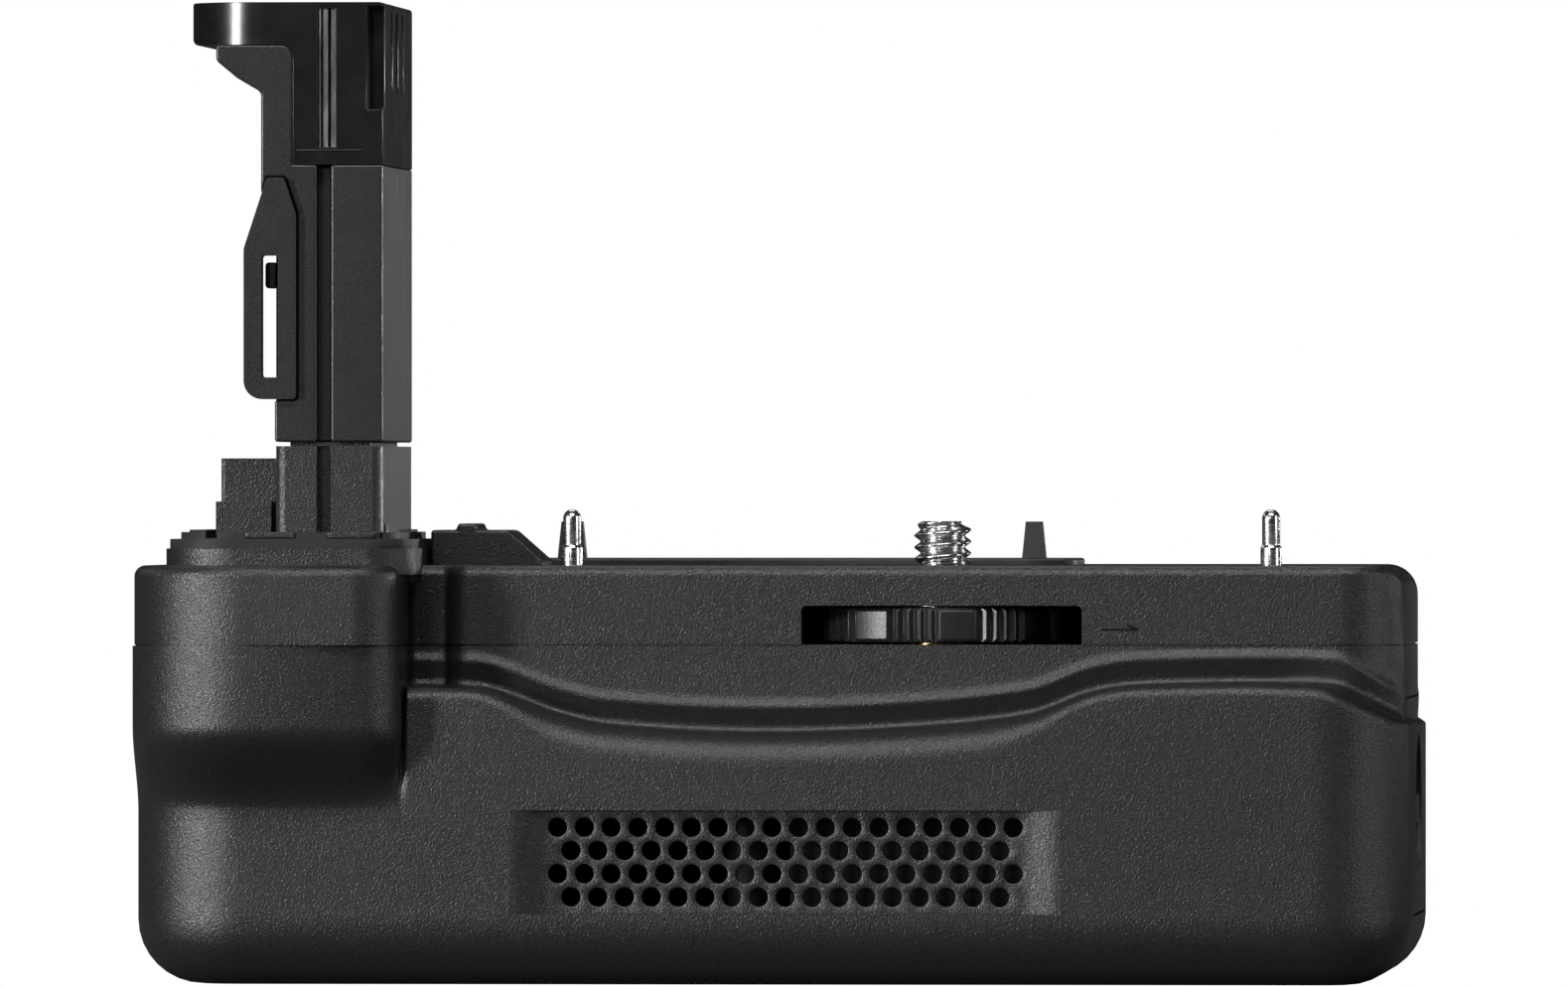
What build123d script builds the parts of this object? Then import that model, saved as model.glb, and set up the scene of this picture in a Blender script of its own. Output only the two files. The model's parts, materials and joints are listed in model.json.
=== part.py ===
from build123d import *
import os

# Battery grip that screws to the base of a camera, in millimetres.
# X runs along the grip to its right end, Y from front to back, Z up. The origin is the middle of the base.

# Overall body; its length, depth and lower height are worked out below from what it holds
UPPER_HEIGHT = 8.55
GRIP_BULGE = 7.0
UPPER_FRONT_STEP = 6.0
UPPER_BACK_STEP = 4.0
UPPER_LEFT_STEP = 0.2
UPPER_RIGHT_STEP = 0.8
WALL = 2.2
UPPER_WALL_FRONT = 3.2
FRONT_LEFT_RADIUS = 12.0
FRONT_RIGHT_RADIUS = 10.0
BACK_RADIUS = 10.0
BASE_FILLET = 7.0
TOP_FILLET = 1.2
TOP_END_RADIUS = 3.5
UPPER_CORNER_RADIUS = 7.0
UPPER_BACK_RADIUS = 8.0
INNER_RADIUS = 4.0

# Hand grip bulge and the valley beside it
BULGE_WIDTH = 29.6
BULGE_RADIUS = 12.5
BULGE_INNER_RADIUS = 5.0
BULGE_START_DROP = 18.1
BULGE_FULL_DROP = 8.7
VALLEY_WIDTH = 4.4
VALLEY_DEPTH = 3.4

# Finger form: a crisp edge in the upper wall with a rounded shoulder below it
SHOULDER_DROP = 2.6
SHOULDER_RADIUS = 5.0
CREASE_RELIEF = 1.0

# Air intake in the front wall
GRILLE_START = 41.2
GRILLE_WIDTH = 59.4
GRILLE_LOW_Z = 7.7
GRILLE_HIGH_Z = 18.9
GRILLE_DEPTH = 0.8
GRILLE_RAMP = 4.4
HOLE_DIAMETER = 2.05
HOLE_PITCH = 2.89
HOLE_ROW_PITCH = 2.5
HOLE_ROWS = 4
HOLE_MARGIN = 4.0
HOLE_SIDES = 12

# Camera screw and lock wheel
SCREW_FROM_COLUMN = 59.1
THREAD_RADIUS = 3.1
THREAD_LENGTH = 4.75
SHANK_RADIUS = 2.8
SCREW_HOLE_RADIUS = 4.6
WHEEL_RADIUS = 14.2
WHEEL_HEIGHT = 3.7
WHEEL_LIFT = 0.25
WHEEL_PROUD = 0.5
WHEEL_ROOM = 0.8
WHEEL_RIB_DEPTH = 0.5
WHEEL_LOBES = 9
WINDOW_WIDTH = 30.3
WINDOW_HEIGHT = 4.2
WINDOW_OFFSET = 0.65
RUNNING_CLEARANCE = 0.03

# Locating pins
PINS_FROM_SCREW = (-39.65, 36.0)
PIN_SETBACK = 5.0
PIN_RADIUS = 1.15
PIN_TIP_RADIUS = 0.98
PIN_BASE_LENGTH = 1.95
PIN_LENGTH = 6.05
PIN_SHANK_RADIUS = 1.5
PIN_SHANK_LENGTH = 1.8

# Recess key beside the column
KEY_GAP = 3.65
KEY_LENGTH = 12.3
KEY_POCKET = 0.8
KEY_SETBACK = 19.0
KEY_OUTLET_GAP = 0.8
KEY_FIT = 0.05

# Outlet frame on the top face
OUTLET_START = 5.4
OUTLET_WIDTH = 64.7
OUTLET_LEAD = 3.7
OUTLET_BACK_STEP = 1.0
OUTLET_PROUD = 0.7
OUTLET_RECESS = 1.2
OUTLET_SLOT = 3.4
OUTLET_SLOT_PITCH = 5.2
OUTLET_SLOTS = 11
POST_INSETS = (9.5, 4.7)
POST_WIDTHS = (3.1, 2.6)
POST_SETBACK = 2.6
POST_DEPTH = 3.0
POST_HEIGHT = 4.0
POST_TAPER = 0.8

# Battery column
COLUMN_END_SETBACK = 6.5
COLUMN_FRONT_SETBACK = 4.8
COLUMN_DEPTH = 38.4
COLUMN_WIDTH = 21.2
COLUMN_HEIGHT = 56.8
STEM_WIDTH = 13.15
STEM_FOOT_WIDTH = 11.66
STEM_STEP_DROP = 5.3
HOLDER_TOP_DROP = 1.4
HOLDER_LIFT = 14.05
BLOCK_WIDTH = 11.6
BLOCK_HEIGHT = 10.0
NECK_HEIGHT = 0.45
GROOVE_WIDTH = 1.5
GROOVE_DEPTH = 1.8
GROOVE_OFFSET = 5.6
CAP_ARM_HEIGHT = 4.6
CAP_HEIGHT = 17.5
CAP_LEG_WIDTH = 9.7
CAP_ROUND = 8.5
CONTACT_SLOT_WIDTH = 1.9
CONTACT_SLOT_DEPTH = 4.0
COLUMN_SCREW_SETBACKS = (13.0, 33.9)
FLEX_SETBACK = 23.8
FLEX_WIDTH = 8.0
FLEX_ROOM = 0.6
PLINTH_HEIGHT = 1.82
PLINTH_RIMS = (2.7, 3.3, 1.9, 2.6)
PLINTH_ROUND = 8.0
GASKET_STEPS = (1.03, 0.74, 0.26)
GASKET_SETBACKS = (0.4, 1.6, 2.5)

# Battery magazine
BATTERY_LENGTH = 56.8
BATTERY_WIDTH = 38.4
BATTERY_THICKNESS = 21.0
BATTERY_CLEARANCE = 0.1
TRAY_WALL = 1.2
TRAY_HEIGHT = 15.6
TRAY_RADIUS = 2.4
TRAY_FRONT_ROOM = 1.5
TRAY_BACK_ROOM = 5.1
MAGAZINE_BASE_Z = 7.6
MAGAZINE_RUNNING_GAP = 0.15
OPENING_GAP = 0.35
OPENING_HEADROOM = 1.15
OPENING_RADIUS = 3.0
CAP_PLATE = 3.0
CAP_INNER_PLATE = 1.8
CAP_CLEARANCE = 0.25
CAP_SEAL_GROOVE = 0.8
BATTERY_END_GAP = 0.4
CONTACT_COUNT = 4
CONTACT_PITCH = 4.0
BAY_CONTACT_ROOM = 2.4
BAY_END_WALL = 1.4
BAY_SIDE_WALL = 1.2
BAY_RAIL = 1.6
BAY_BOSS_GAP = 0.2
KNOB_RADIUS = 8.0
KNOB_RECESS = 2.0
KNOB_SHAFT_RADIUS = 2.4
TONGUE_REACH = 13.3
TONGUE_WIDTH = 5.0

# Fan and duct
FAN_SIZE = 40.0
FAN_THICKNESS = 10.0
FAN_BASE_Z = 20.0
FAN_FRONT_ROOM = 2.8
FAN_BACK_ROOM = 4.8
FAN_BAY_GAP = 0.3
FAN_RIM = 1.0
FAN_SCREW_INSET = 4.0
FAN_SCREW_RADIUS = 1.45
STANDOFF_RADIUS = 3.0
BLADE_COUNT = 7
BLADE_TIP_GAP = 0.5
HUB_RADIUS = 9.0
FAN_SHAFT_RADIUS = 1.0
DUCT_WALL = 1.2
DUCT_COLUMN_GAP = 2.9
SEAL_THICKNESS = 0.6

# Board and chassis
BOARD_WIDTH = 19.0
BOARD_LENGTH = 34.0
BOARD_THICKNESS = 1.6
BOARD_HEIGHT = 12.0
BOARD_SIDE_GAP = 6.0
BOARD_BACK_GAP = 8.0
BOARD_SCREW_INSET = 2.5
CHASSIS_THICKNESS = 1.2
CHASSIS_GAP = 1.8
CHASSIS_DROP = 3.8
CHASSIS_SLOT_INSETS = (27.0, 15.0)
CHASSIS_SLOT_WIDTH = 8.0
SOCKET_BORE_RADIUS = 2.6
SOCKET_RADIUS = 5.5
SOCKET_DEPTH = 5.3
HOUSING_SCREW_RADIUS = 0.95
HOUSING_SCREW_HEAD_RADIUS = 1.75
HOUSING_SCREW_BOSS = 0.9
HOUSING_SCREW_SETBACK = 1.8
SCREW_SEAT_Z = 29.0
FLEX_THICKNESS = 0.3

# Size of the body, worked out from what lies inside it
TRAY_DEPTH = BATTERY_WIDTH + 2 * (BATTERY_CLEARANCE + TRAY_WALL)
MAGAZINE_LENGTH = TRAY_WALL + BATTERY_CLEARANCE + BATTERY_LENGTH + BATTERY_END_GAP + CAP_INNER_PLATE + CAP_PLATE
LEFT_END_LENGTH = COLUMN_END_SETBACK + COLUMN_WIDTH + DUCT_COLUMN_GAP
BODY_LENGTH = LEFT_END_LENGTH + FAN_SIZE + FAN_BAY_GAP + BAY_END_WALL + BAY_CONTACT_ROOM + MAGAZINE_LENGTH
INNER_DEPTH = max(
    TRAY_FRONT_ROOM + TRAY_DEPTH + TRAY_BACK_ROOM,
    FAN_FRONT_ROOM + FAN_SIZE + FAN_BACK_ROOM,
)
BODY_DEPTH = GRIP_BULGE + UPPER_FRONT_STEP + UPPER_WALL_FRONT + INNER_DEPTH + WALL + UPPER_BACK_STEP
BATTERY_BASE_Z = MAGAZINE_BASE_Z + TRAY_WALL + BATTERY_CLEARANCE
BATTERY_TOP_Z = BATTERY_BASE_Z + BATTERY_THICKNESS
CHASSIS_BASE_Z = BATTERY_TOP_Z + CHASSIS_GAP
CHASSIS_TOP_Z = CHASSIS_BASE_Z + CHASSIS_THICKNESS
LOWER_HEIGHT = CHASSIS_TOP_Z + CHASSIS_DROP

# Places worked out from the sizes above
LEFT_X = -BODY_LENGTH / 2
RIGHT_X = BODY_LENGTH / 2
GRIP_FRONT_Y = -BODY_DEPTH / 2
BACK_Y = BODY_DEPTH / 2
FRONT_Y = GRIP_FRONT_Y + GRIP_BULGE
WALL_FRONT_Y = FRONT_Y + UPPER_FRONT_STEP
WALL_BACK_Y = BACK_Y - UPPER_BACK_STEP
WALL_RIGHT_X = RIGHT_X - UPPER_RIGHT_STEP
PARTING_Z = LOWER_HEIGHT
TOP_Z = LOWER_HEIGHT + UPPER_HEIGHT
CEILING_Z = TOP_Z - WALL
BULGE_RIGHT_X = LEFT_X + BULGE_WIDTH
MAIN_LEFT_X = BULGE_RIGHT_X + VALLEY_WIDTH
VALLEY_FLOOR_Y = WALL_FRONT_Y + VALLEY_DEPTH
CAVITY_FRONT_Y = WALL_FRONT_Y + UPPER_WALL_FRONT
CAVITY_BACK_Y = WALL_BACK_Y - WALL
LOW_CAVITY_TOP = FAN_BASE_Z
BULGE_START_Z = PARTING_Z - BULGE_START_DROP
BULGE_FULL_Z = PARTING_Z - BULGE_FULL_DROP
GRILLE_LEFT_X = LEFT_X + GRILLE_START
GRILLE_RIGHT_X = GRILLE_LEFT_X + GRILLE_WIDTH

# Places of the magazine, from the right end inward
CAP_INNER_X = RIGHT_X - CAP_PLATE
CAP_PLATE_X = CAP_INNER_X - CAP_INNER_PLATE
BATTERY_RIGHT_X = CAP_PLATE_X - BATTERY_END_GAP
BATTERY_LEFT_X = BATTERY_RIGHT_X - BATTERY_LENGTH
TRAY_LEFT_X = BATTERY_LEFT_X - BATTERY_CLEARANCE - TRAY_WALL
TRAY_FRONT_Y = CAVITY_FRONT_Y + TRAY_FRONT_ROOM
TRAY_BACK_Y = TRAY_FRONT_Y + TRAY_DEPTH
MAGAZINE_CENTRE_Y = (TRAY_FRONT_Y + TRAY_BACK_Y) / 2
MAGAZINE_CENTRE_Z = (MAGAZINE_BASE_Z + BATTERY_TOP_Z + BATTERY_CLEARANCE) / 2
BAY_WALL_X = TRAY_LEFT_X - BAY_CONTACT_ROOM
BAY_WALL_LEFT_X = BAY_WALL_X - BAY_END_WALL
BAY_FRONT_Y = TRAY_FRONT_Y - MAGAZINE_RUNNING_GAP
BAY_BACK_Y = TRAY_BACK_Y + MAGAZINE_RUNNING_GAP

# Places of the fan and the board
FAN_RIGHT_X = BAY_WALL_LEFT_X - FAN_BAY_GAP
FAN_LEFT_X = FAN_RIGHT_X - FAN_SIZE
FAN_X = (FAN_LEFT_X + FAN_RIGHT_X) / 2
FAN_FRONT_Y = CAVITY_FRONT_Y + FAN_FRONT_ROOM
FAN_BACK_Y = FAN_FRONT_Y + FAN_SIZE
FAN_CENTRE_Y = (FAN_FRONT_Y + FAN_BACK_Y) / 2
FAN_TOP_Z = FAN_BASE_Z + FAN_THICKNESS
FAN_BORE_RADIUS = FAN_SIZE / 2 - FAN_RIM
BOARD_LEFT_X = LEFT_X + WALL + BOARD_SIDE_GAP
BOARD_RIGHT_X = BOARD_LEFT_X + BOARD_WIDTH
BOARD_BACK_Y = CAVITY_BACK_Y - BOARD_BACK_GAP
BOARD_FRONT_Y = BOARD_BACK_Y - BOARD_LENGTH
BOARD_TOP_Z = BOARD_HEIGHT + BOARD_THICKNESS

# Places of the column, the screw, its wheel and the pins
COLUMN_LEFT_X = LEFT_X + COLUMN_END_SETBACK
COLUMN_RIGHT_X = COLUMN_LEFT_X + COLUMN_WIDTH
COLUMN_FRONT_Y = GRIP_FRONT_Y + COLUMN_FRONT_SETBACK
COLUMN_BACK_Y = COLUMN_FRONT_Y + COLUMN_DEPTH
SCREW_X = COLUMN_RIGHT_X + SCREW_FROM_COLUMN
SCREW_Y = WALL_FRONT_Y - WHEEL_PROUD + WHEEL_RADIUS
WHEEL_BASE_Z = PARTING_Z + WHEEL_LIFT
WHEEL_TOP_Z = WHEEL_BASE_Z + WHEEL_HEIGHT
PIN_XS = [SCREW_X + along for along in PINS_FROM_SCREW]
PIN_Y = WALL_FRONT_Y + PIN_SETBACK

# Places of the duct and the outlet frame
DUCT_FRONT_Y = SCREW_Y + WHEEL_RADIUS + WHEEL_ROOM
OUTLET_LEFT_X = FAN_LEFT_X + OUTLET_START
OUTLET_RIGHT_X = OUTLET_LEFT_X + OUTLET_WIDTH
OUTLET_FRONT_Y = DUCT_FRONT_Y - OUTLET_LEAD
OUTLET_BACK_Y = FAN_BACK_Y - OUTLET_BACK_STEP
OUTLET_BASE_Z = TOP_Z - OUTLET_RECESS
OUTLET_TOP_Z = TOP_Z + OUTLET_PROUD
POST_XS = (OUTLET_LEFT_X + POST_INSETS[0], OUTLET_RIGHT_X - POST_INSETS[1])
KEY_LEFT_X = COLUMN_RIGHT_X + KEY_GAP
KEY_RIGHT_X = KEY_LEFT_X + KEY_LENGTH
KEY_FRONT_Y = COLUMN_FRONT_Y + KEY_SETBACK
KEY_BACK_Y = OUTLET_FRONT_Y - KEY_OUTLET_GAP

# Heights in the column
PLINTH_TOP_Z = TOP_Z + PLINTH_HEIGHT
GASKET_TOP_Z = PLINTH_TOP_Z + sum(GASKET_STEPS)
COLUMN_BASE_Z = GASKET_TOP_Z
COLUMN_TOP_Z = COLUMN_BASE_Z + COLUMN_HEIGHT
BLOCK_TOP_Z = COLUMN_BASE_Z + BLOCK_HEIGHT - 1.0
STEM_BASE_Z = BLOCK_TOP_Z + NECK_HEIGHT
CAP_BASE_Z = COLUMN_TOP_Z - CAP_HEIGHT
CAP_ARM_Z = COLUMN_TOP_Z - CAP_ARM_HEIGHT
HOLDER_BASE_Z = COLUMN_BASE_Z + HOLDER_LIFT
HOLDER_TOP_Z = CAP_BASE_Z - HOLDER_TOP_DROP
GROOVE_X = COLUMN_RIGHT_X - GROOVE_OFFSET - GROOVE_WIDTH
STEM_LEFT_X = COLUMN_RIGHT_X - STEM_FOOT_WIDTH

# The crisp edge of the finger form: X and drop below the parting line
CREASE = (
    (LEFT_X + 36.6, 2.0),
    (LEFT_X + 45.9, 4.85),
    (LEFT_X + 50.7, 6.0),
    (LEFT_X + 65.8, 6.9),
    (LEFT_X + 81.9, 6.5),
    (LEFT_X + 96.9, 5.0),
    (LEFT_X + 103.5, 2.65),
    (LEFT_X + 109.2, 1.8),
    (RIGHT_X - 8.1, 1.8),
    (RIGHT_X - 4.9, 3.3),
    (RIGHT_X + 1.0, 6.5),
)

# Housing screws: X and Y of each
SCREW_BACK_Y = CAVITY_BACK_Y - HOUSING_SCREW_SETBACK
HOUSING_SCREWS = (
    (LEFT_X + 15.0, FRONT_Y + 6.0),
    (RIGHT_X - 7.0, FRONT_Y + 7.6),
    (LEFT_X + 15.0, SCREW_BACK_Y),
    (FAN_RIGHT_X - 1.6, SCREW_BACK_Y),
    (RIGHT_X - 9.0, SCREW_BACK_Y),
)
BOSS_RADIUS = HOUSING_SCREW_HEAD_RADIUS + HOUSING_SCREW_BOSS


# Shapes used again and again


def block(x0, x1, y0, y1, z0, z1):
    """A block between two corners."""
    middle = Pos((x0 + x1) / 2, (y0 + y1) / 2, (z0 + z1) / 2)
    return middle * Box(x1 - x0, y1 - y0, z1 - z0)


def post(x, y, radius, z0, z1):
    """An upright round post."""
    return Pos(x, y, (z0 + z1) / 2) * Cylinder(radius, z1 - z0)


def tube(x, y, radius, bore, z0, z1):
    """An upright round tube."""
    return post(x, y, radius, z0, z1) - post(x, y, bore, z0 - 1, z1 + 1)


def plan(corners, z):
    """A level outline from corners given as X, Y and corner radius."""
    points = [(x, y) for x, y, _ in corners]
    radii = [radius for _, _, radius in corners]
    return Pos(0, 0, z) * make_face(FilletPolyline(*points, radius=radii, close=True))


def prism(corners, z0, z1):
    """An upright prism on such an outline."""
    return extrude(plan(corners, z0), z1 - z0, dir=(0, 0, 1))


def rounded_plan(x0, x1, y0, y1, radius):
    """The corners of a rectangle with one radius."""
    return [(x0, y1, radius), (x0, y0, radius), (x1, y0, radius), (x1, y1, radius)]


def rounded_block(x0, x1, y0, y1, z0, z1, radius):
    """A block with rounded upright edges."""
    return prism(rounded_plan(x0, x1, y0, y1, radius), z0, z1)


def front_prism(outline, y0, y1):
    """A front-view outline run from front to back."""
    face = Pos(0, y0, 0) * (Plane.XZ * make_face(outline))
    return extrude(face, y1 - y0, dir=(0, 1, 0))


def side_prism(outline, x0, x1):
    """A side-view outline, Y across and Z up, run along the grip."""
    face = Pos(x0, 0, 0) * (Plane.YZ * make_face(outline))
    return extrude(face, x1 - x0, dir=(1, 0, 0))


def front_polygon(corners, y0, y1):
    """A front-view outline with rounded corners, run from front to back."""
    points = [(x, z) for x, z, _ in corners]
    radii = [radius for _, _, radius in corners]
    return front_prism(FilletPolyline(*points, radius=radii, close=True), y0, y1)


def group(solids):
    """Separate solids kept as one sub-part."""
    return Compound([solid for item in solids for solid in item.solids()])


# Outer forms of the two housings


def crease_line(drop):
    """The finger form's edge, lowered by a drop, with a level lead on its left."""
    points = [(x, PARTING_Z - below - drop) for x, below in CREASE]
    lead = Line((LEFT_X - 1, points[0][1]), points[0])
    return lead + Spline(*points, tangents=[(1, 0), (1, -0.45)])


def under_crease(drop, z0, y0, y1):
    """Everything under the finger form's edge down to a height."""
    edge = crease_line(drop)
    start = edge @ 0
    end = edge @ 1
    outline = edge + Polyline((end.X, end.Y), (end.X, z0), (start.X, z0), (start.X, start.Y))
    return front_prism(outline, y0, y1)


def upper_plan(left_x, right_x):
    """Outline of the upper wall with the hand grip bulge and the valley."""
    return [
        (left_x, WALL_BACK_Y, UPPER_BACK_RADIUS),
        (left_x, GRIP_FRONT_Y, BULGE_RADIUS),
        (BULGE_RIGHT_X, GRIP_FRONT_Y, BULGE_INNER_RADIUS),
        (BULGE_RIGHT_X, VALLEY_FLOOR_Y, 1.2),
        (MAIN_LEFT_X, VALLEY_FLOOR_Y, 0.8),
        (MAIN_LEFT_X, WALL_FRONT_Y, 2.4),
        (right_x, WALL_FRONT_Y, UPPER_CORNER_RADIUS),
        (right_x, WALL_BACK_Y, UPPER_BACK_RADIUS),
    ]


def shoulder_body():
    """The full lower body up to the rounded shoulder of the finger form."""
    corners = [
        (LEFT_X, BACK_Y, BACK_RADIUS),
        (LEFT_X, FRONT_Y, FRONT_LEFT_RADIUS),
        (RIGHT_X, FRONT_Y, FRONT_RIGHT_RADIUS),
        (RIGHT_X, BACK_Y, BACK_RADIUS),
    ]
    body = prism(corners, 0, PARTING_Z) & under_crease(SHOULDER_DROP, -1, GRIP_FRONT_Y - 1, BACK_Y + 1)
    body = fillet(body.edges().group_by(Axis.Z)[0], BASE_FILLET)
    tops = [edge for edge in body.edges() if edge.center().Z > BULGE_START_Z + 4 and is_rim(edge, body)]
    return fillet(tops, SHOULDER_RADIUS)


def is_rim(edge, body):
    """True for an edge between the shoulder's top and a side wall."""
    ends = edge.position_at(0.05), edge.position_at(0.95)
    upright = abs(ends[0].Z - ends[1].Z) > 0.9 * edge.length
    across = abs(ends[0].Y - ends[1].Y) > 0.9 * edge.length and edge.center().X < RIGHT_X - 0.5
    return not upright and not (across and edge.center().X > LEFT_X + 0.5)


def bulge_outline(front_y, z):
    """Outline of the hand grip bulge at a height."""
    corners = [
        (LEFT_X, 0, 0),
        (LEFT_X, front_y, FRONT_LEFT_RADIUS),
        (BULGE_RIGHT_X, front_y, BULGE_INNER_RADIUS),
        (BULGE_RIGHT_X, 0, 0),
    ]
    return plan(corners, z)


def bulge_flare():
    """The S-shaped underside where the bulge leaves the lower body."""
    rise = BULGE_FULL_Z - BULGE_START_Z
    steps = ((0.0, 0.0), (0.15, 0.08), (0.35, 0.34), (0.55, 0.66), (0.75, 0.89), (1.0, 1.0))
    sections = [bulge_outline(FRONT_Y - GRIP_BULGE * out, BULGE_START_Z + rise * up) for up, out in steps]
    return loft(sections)


def lower_form():
    """Outer form of the lower housing."""
    wall = prism(upper_plan(LEFT_X, WALL_RIGHT_X), BULGE_FULL_Z, PARTING_Z)
    inner_front = WALL_FRONT_Y + CREASE_RELIEF
    inner = [
        (LEFT_X, WALL_BACK_Y, UPPER_BACK_RADIUS),
        (LEFT_X, VALLEY_FLOOR_Y, 0),
        (MAIN_LEFT_X, VALLEY_FLOOR_Y, 0),
        (MAIN_LEFT_X, inner_front, 1.2),
        (WALL_RIGHT_X, inner_front, UPPER_CORNER_RADIUS - CREASE_RELIEF),
        (WALL_RIGHT_X, WALL_BACK_Y, UPPER_BACK_RADIUS),
    ]
    core = prism(inner, LOW_CAVITY_TOP, BULGE_FULL_Z)
    relief_x = MAIN_LEFT_X - 0.5
    relief = under_crease(0, BULGE_FULL_Z - 2, WALL_FRONT_Y - 1, WALL_FRONT_Y + CREASE_RELIEF)
    relief &= block(relief_x, RIGHT_X + 2, GRIP_FRONT_Y, BACK_Y, 0, PARTING_Z)
    form = shoulder_body() + (wall - relief) + core
    form -= block(LEFT_X - 1, BULGE_RIGHT_X - 8, GRIP_FRONT_Y - 1, 0, BULGE_START_Z, BULGE_FULL_Z)
    return form + bulge_flare()


def upper_form():
    """Outer form of the upper housing without the plinth."""
    left_x = LEFT_X + UPPER_LEFT_STEP
    form = prism(upper_plan(left_x, WALL_RIGHT_X), PARTING_Z, TOP_Z)
    form = fillet(form.edges().group_by(Axis.Z)[-1], TOP_FILLET)
    ends = [
        (left_x - 5, PARTING_Z - 5, 0),
        (left_x - 5, TOP_Z, 0),
        (WALL_RIGHT_X, TOP_Z, TOP_END_RADIUS),
        (WALL_RIGHT_X, PARTING_Z - 5, 0),
    ]
    return form & front_polygon(ends, GRIP_FRONT_Y - 1, BACK_Y + 1)


# Lower housing


def grille_cut():
    """The sunk panel of the air intake and its rows of round holes."""
    sunk_y = FRONT_Y + GRILLE_DEPTH
    outline = Polyline(
        (GRILLE_LEFT_X, FRONT_Y),
        (GRILLE_LEFT_X + GRILLE_RAMP, sunk_y),
        (GRILLE_RIGHT_X - GRILLE_RAMP, sunk_y),
        (GRILLE_RIGHT_X, FRONT_Y),
        (GRILLE_RIGHT_X, FRONT_Y - 1),
        (GRILLE_LEFT_X, FRONT_Y - 1),
        close=True,
    )
    face = Pos(0, 0, GRILLE_LOW_Z) * make_face(outline)
    cut = extrude(face, GRILLE_HIGH_Z - GRILLE_LOW_Z, dir=(0, 0, 1))
    middle_x = (GRILLE_LEFT_X + GRILLE_RIGHT_X) / 2
    middle_z = (GRILLE_LOW_Z + GRILLE_HIGH_Z) / 2
    ring = RegularPolygon(HOLE_DIAMETER / 2, HOLE_SIDES)
    long_row = 1 + int((GRILLE_WIDTH - 2 * HOLE_MARGIN - HOLE_DIAMETER) / HOLE_PITCH)
    holes = []
    for row in range(HOLE_ROWS):
        count = long_row - row % 2
        z = middle_z + HOLE_ROW_PITCH * ((HOLE_ROWS - 1) / 2 - row)
        for column in range(count):
            x = middle_x + HOLE_PITCH * (column - (count - 1) / 2)
            face = Pos(x, FRONT_Y, z) * Plane.XZ * ring
            holes.append(extrude(face, 1.5 * WALL, dir=(0, 1, 0)))
    return cut, holes


def lower_cavities():
    """The hollow inside of the lower housing."""
    low = [
        (LEFT_X + WALL, BACK_Y - WALL, BACK_RADIUS - WALL),
        (LEFT_X + WALL, FRONT_Y + WALL, FRONT_LEFT_RADIUS - WALL),
        (RIGHT_X - WALL, FRONT_Y + WALL, FRONT_RIGHT_RADIUS - WALL),
        (RIGHT_X - WALL, BACK_Y - WALL, BACK_RADIUS - WALL),
    ]
    low_space = prism(low, WALL, LOW_CAVITY_TOP)
    low_space = fillet(low_space.edges().group_by(Axis.Z)[0], BASE_FILLET - WALL)
    high = main_cavity(LEFT_X + WALL, LOW_CAVITY_TOP, PARTING_Z)
    grip_low = rounded_block(
        LEFT_X + WALL, BULGE_RIGHT_X - WALL, FRONT_Y + WALL, VALLEY_FLOOR_Y + WALL + 3, LOW_CAVITY_TOP,
        BULGE_FULL_Z + WALL, 1.5,
    )
    return low_space + high + grip_low + grip_hollow(LEFT_X + WALL, BULGE_FULL_Z + WALL, PARTING_Z)


def main_cavity(left_x, z0, z1):
    """The hollow behind the upper wall, stepped back behind the valley."""
    valley_y = VALLEY_FLOOR_Y + WALL
    corners = [
        (left_x, CAVITY_BACK_Y, INNER_RADIUS),
        (left_x, valley_y, 0),
        (MAIN_LEFT_X + WALL, valley_y, 1.0),
        (MAIN_LEFT_X + WALL, CAVITY_FRONT_Y, 1.0),
        (WALL_RIGHT_X - WALL, CAVITY_FRONT_Y, INNER_RADIUS),
        (WALL_RIGHT_X - WALL, CAVITY_BACK_Y, INNER_RADIUS),
    ]
    return prism(corners, z0, z1)


def grip_hollow(left_x, z0, z1):
    """The hollow inside the hand grip bulge."""
    back_y = VALLEY_FLOOR_Y + WALL + 1
    corners = [
        (left_x, back_y, 0),
        (left_x, GRIP_FRONT_Y + WALL, BULGE_RADIUS - WALL),
        (BULGE_RIGHT_X - WALL, GRIP_FRONT_Y + WALL, BULGE_INNER_RADIUS - WALL),
        (BULGE_RIGHT_X - WALL, back_y, 0),
    ]
    return prism(corners, z0, z1)


def magazine_opening(grow):
    """The magazine's outline at the right end, grown by a gap."""
    y0 = TRAY_FRONT_Y - OPENING_GAP - grow
    y1 = TRAY_BACK_Y + OPENING_GAP + grow
    z0 = MAGAZINE_BASE_Z - OPENING_GAP - grow
    z1 = BATTERY_TOP_Z + OPENING_HEADROOM + grow
    corners = [(y0, z0), (y1, z0), (y1, z1), (y0, z1)]
    return FilletPolyline(*corners, radius=OPENING_RADIUS + grow, close=True)


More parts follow.
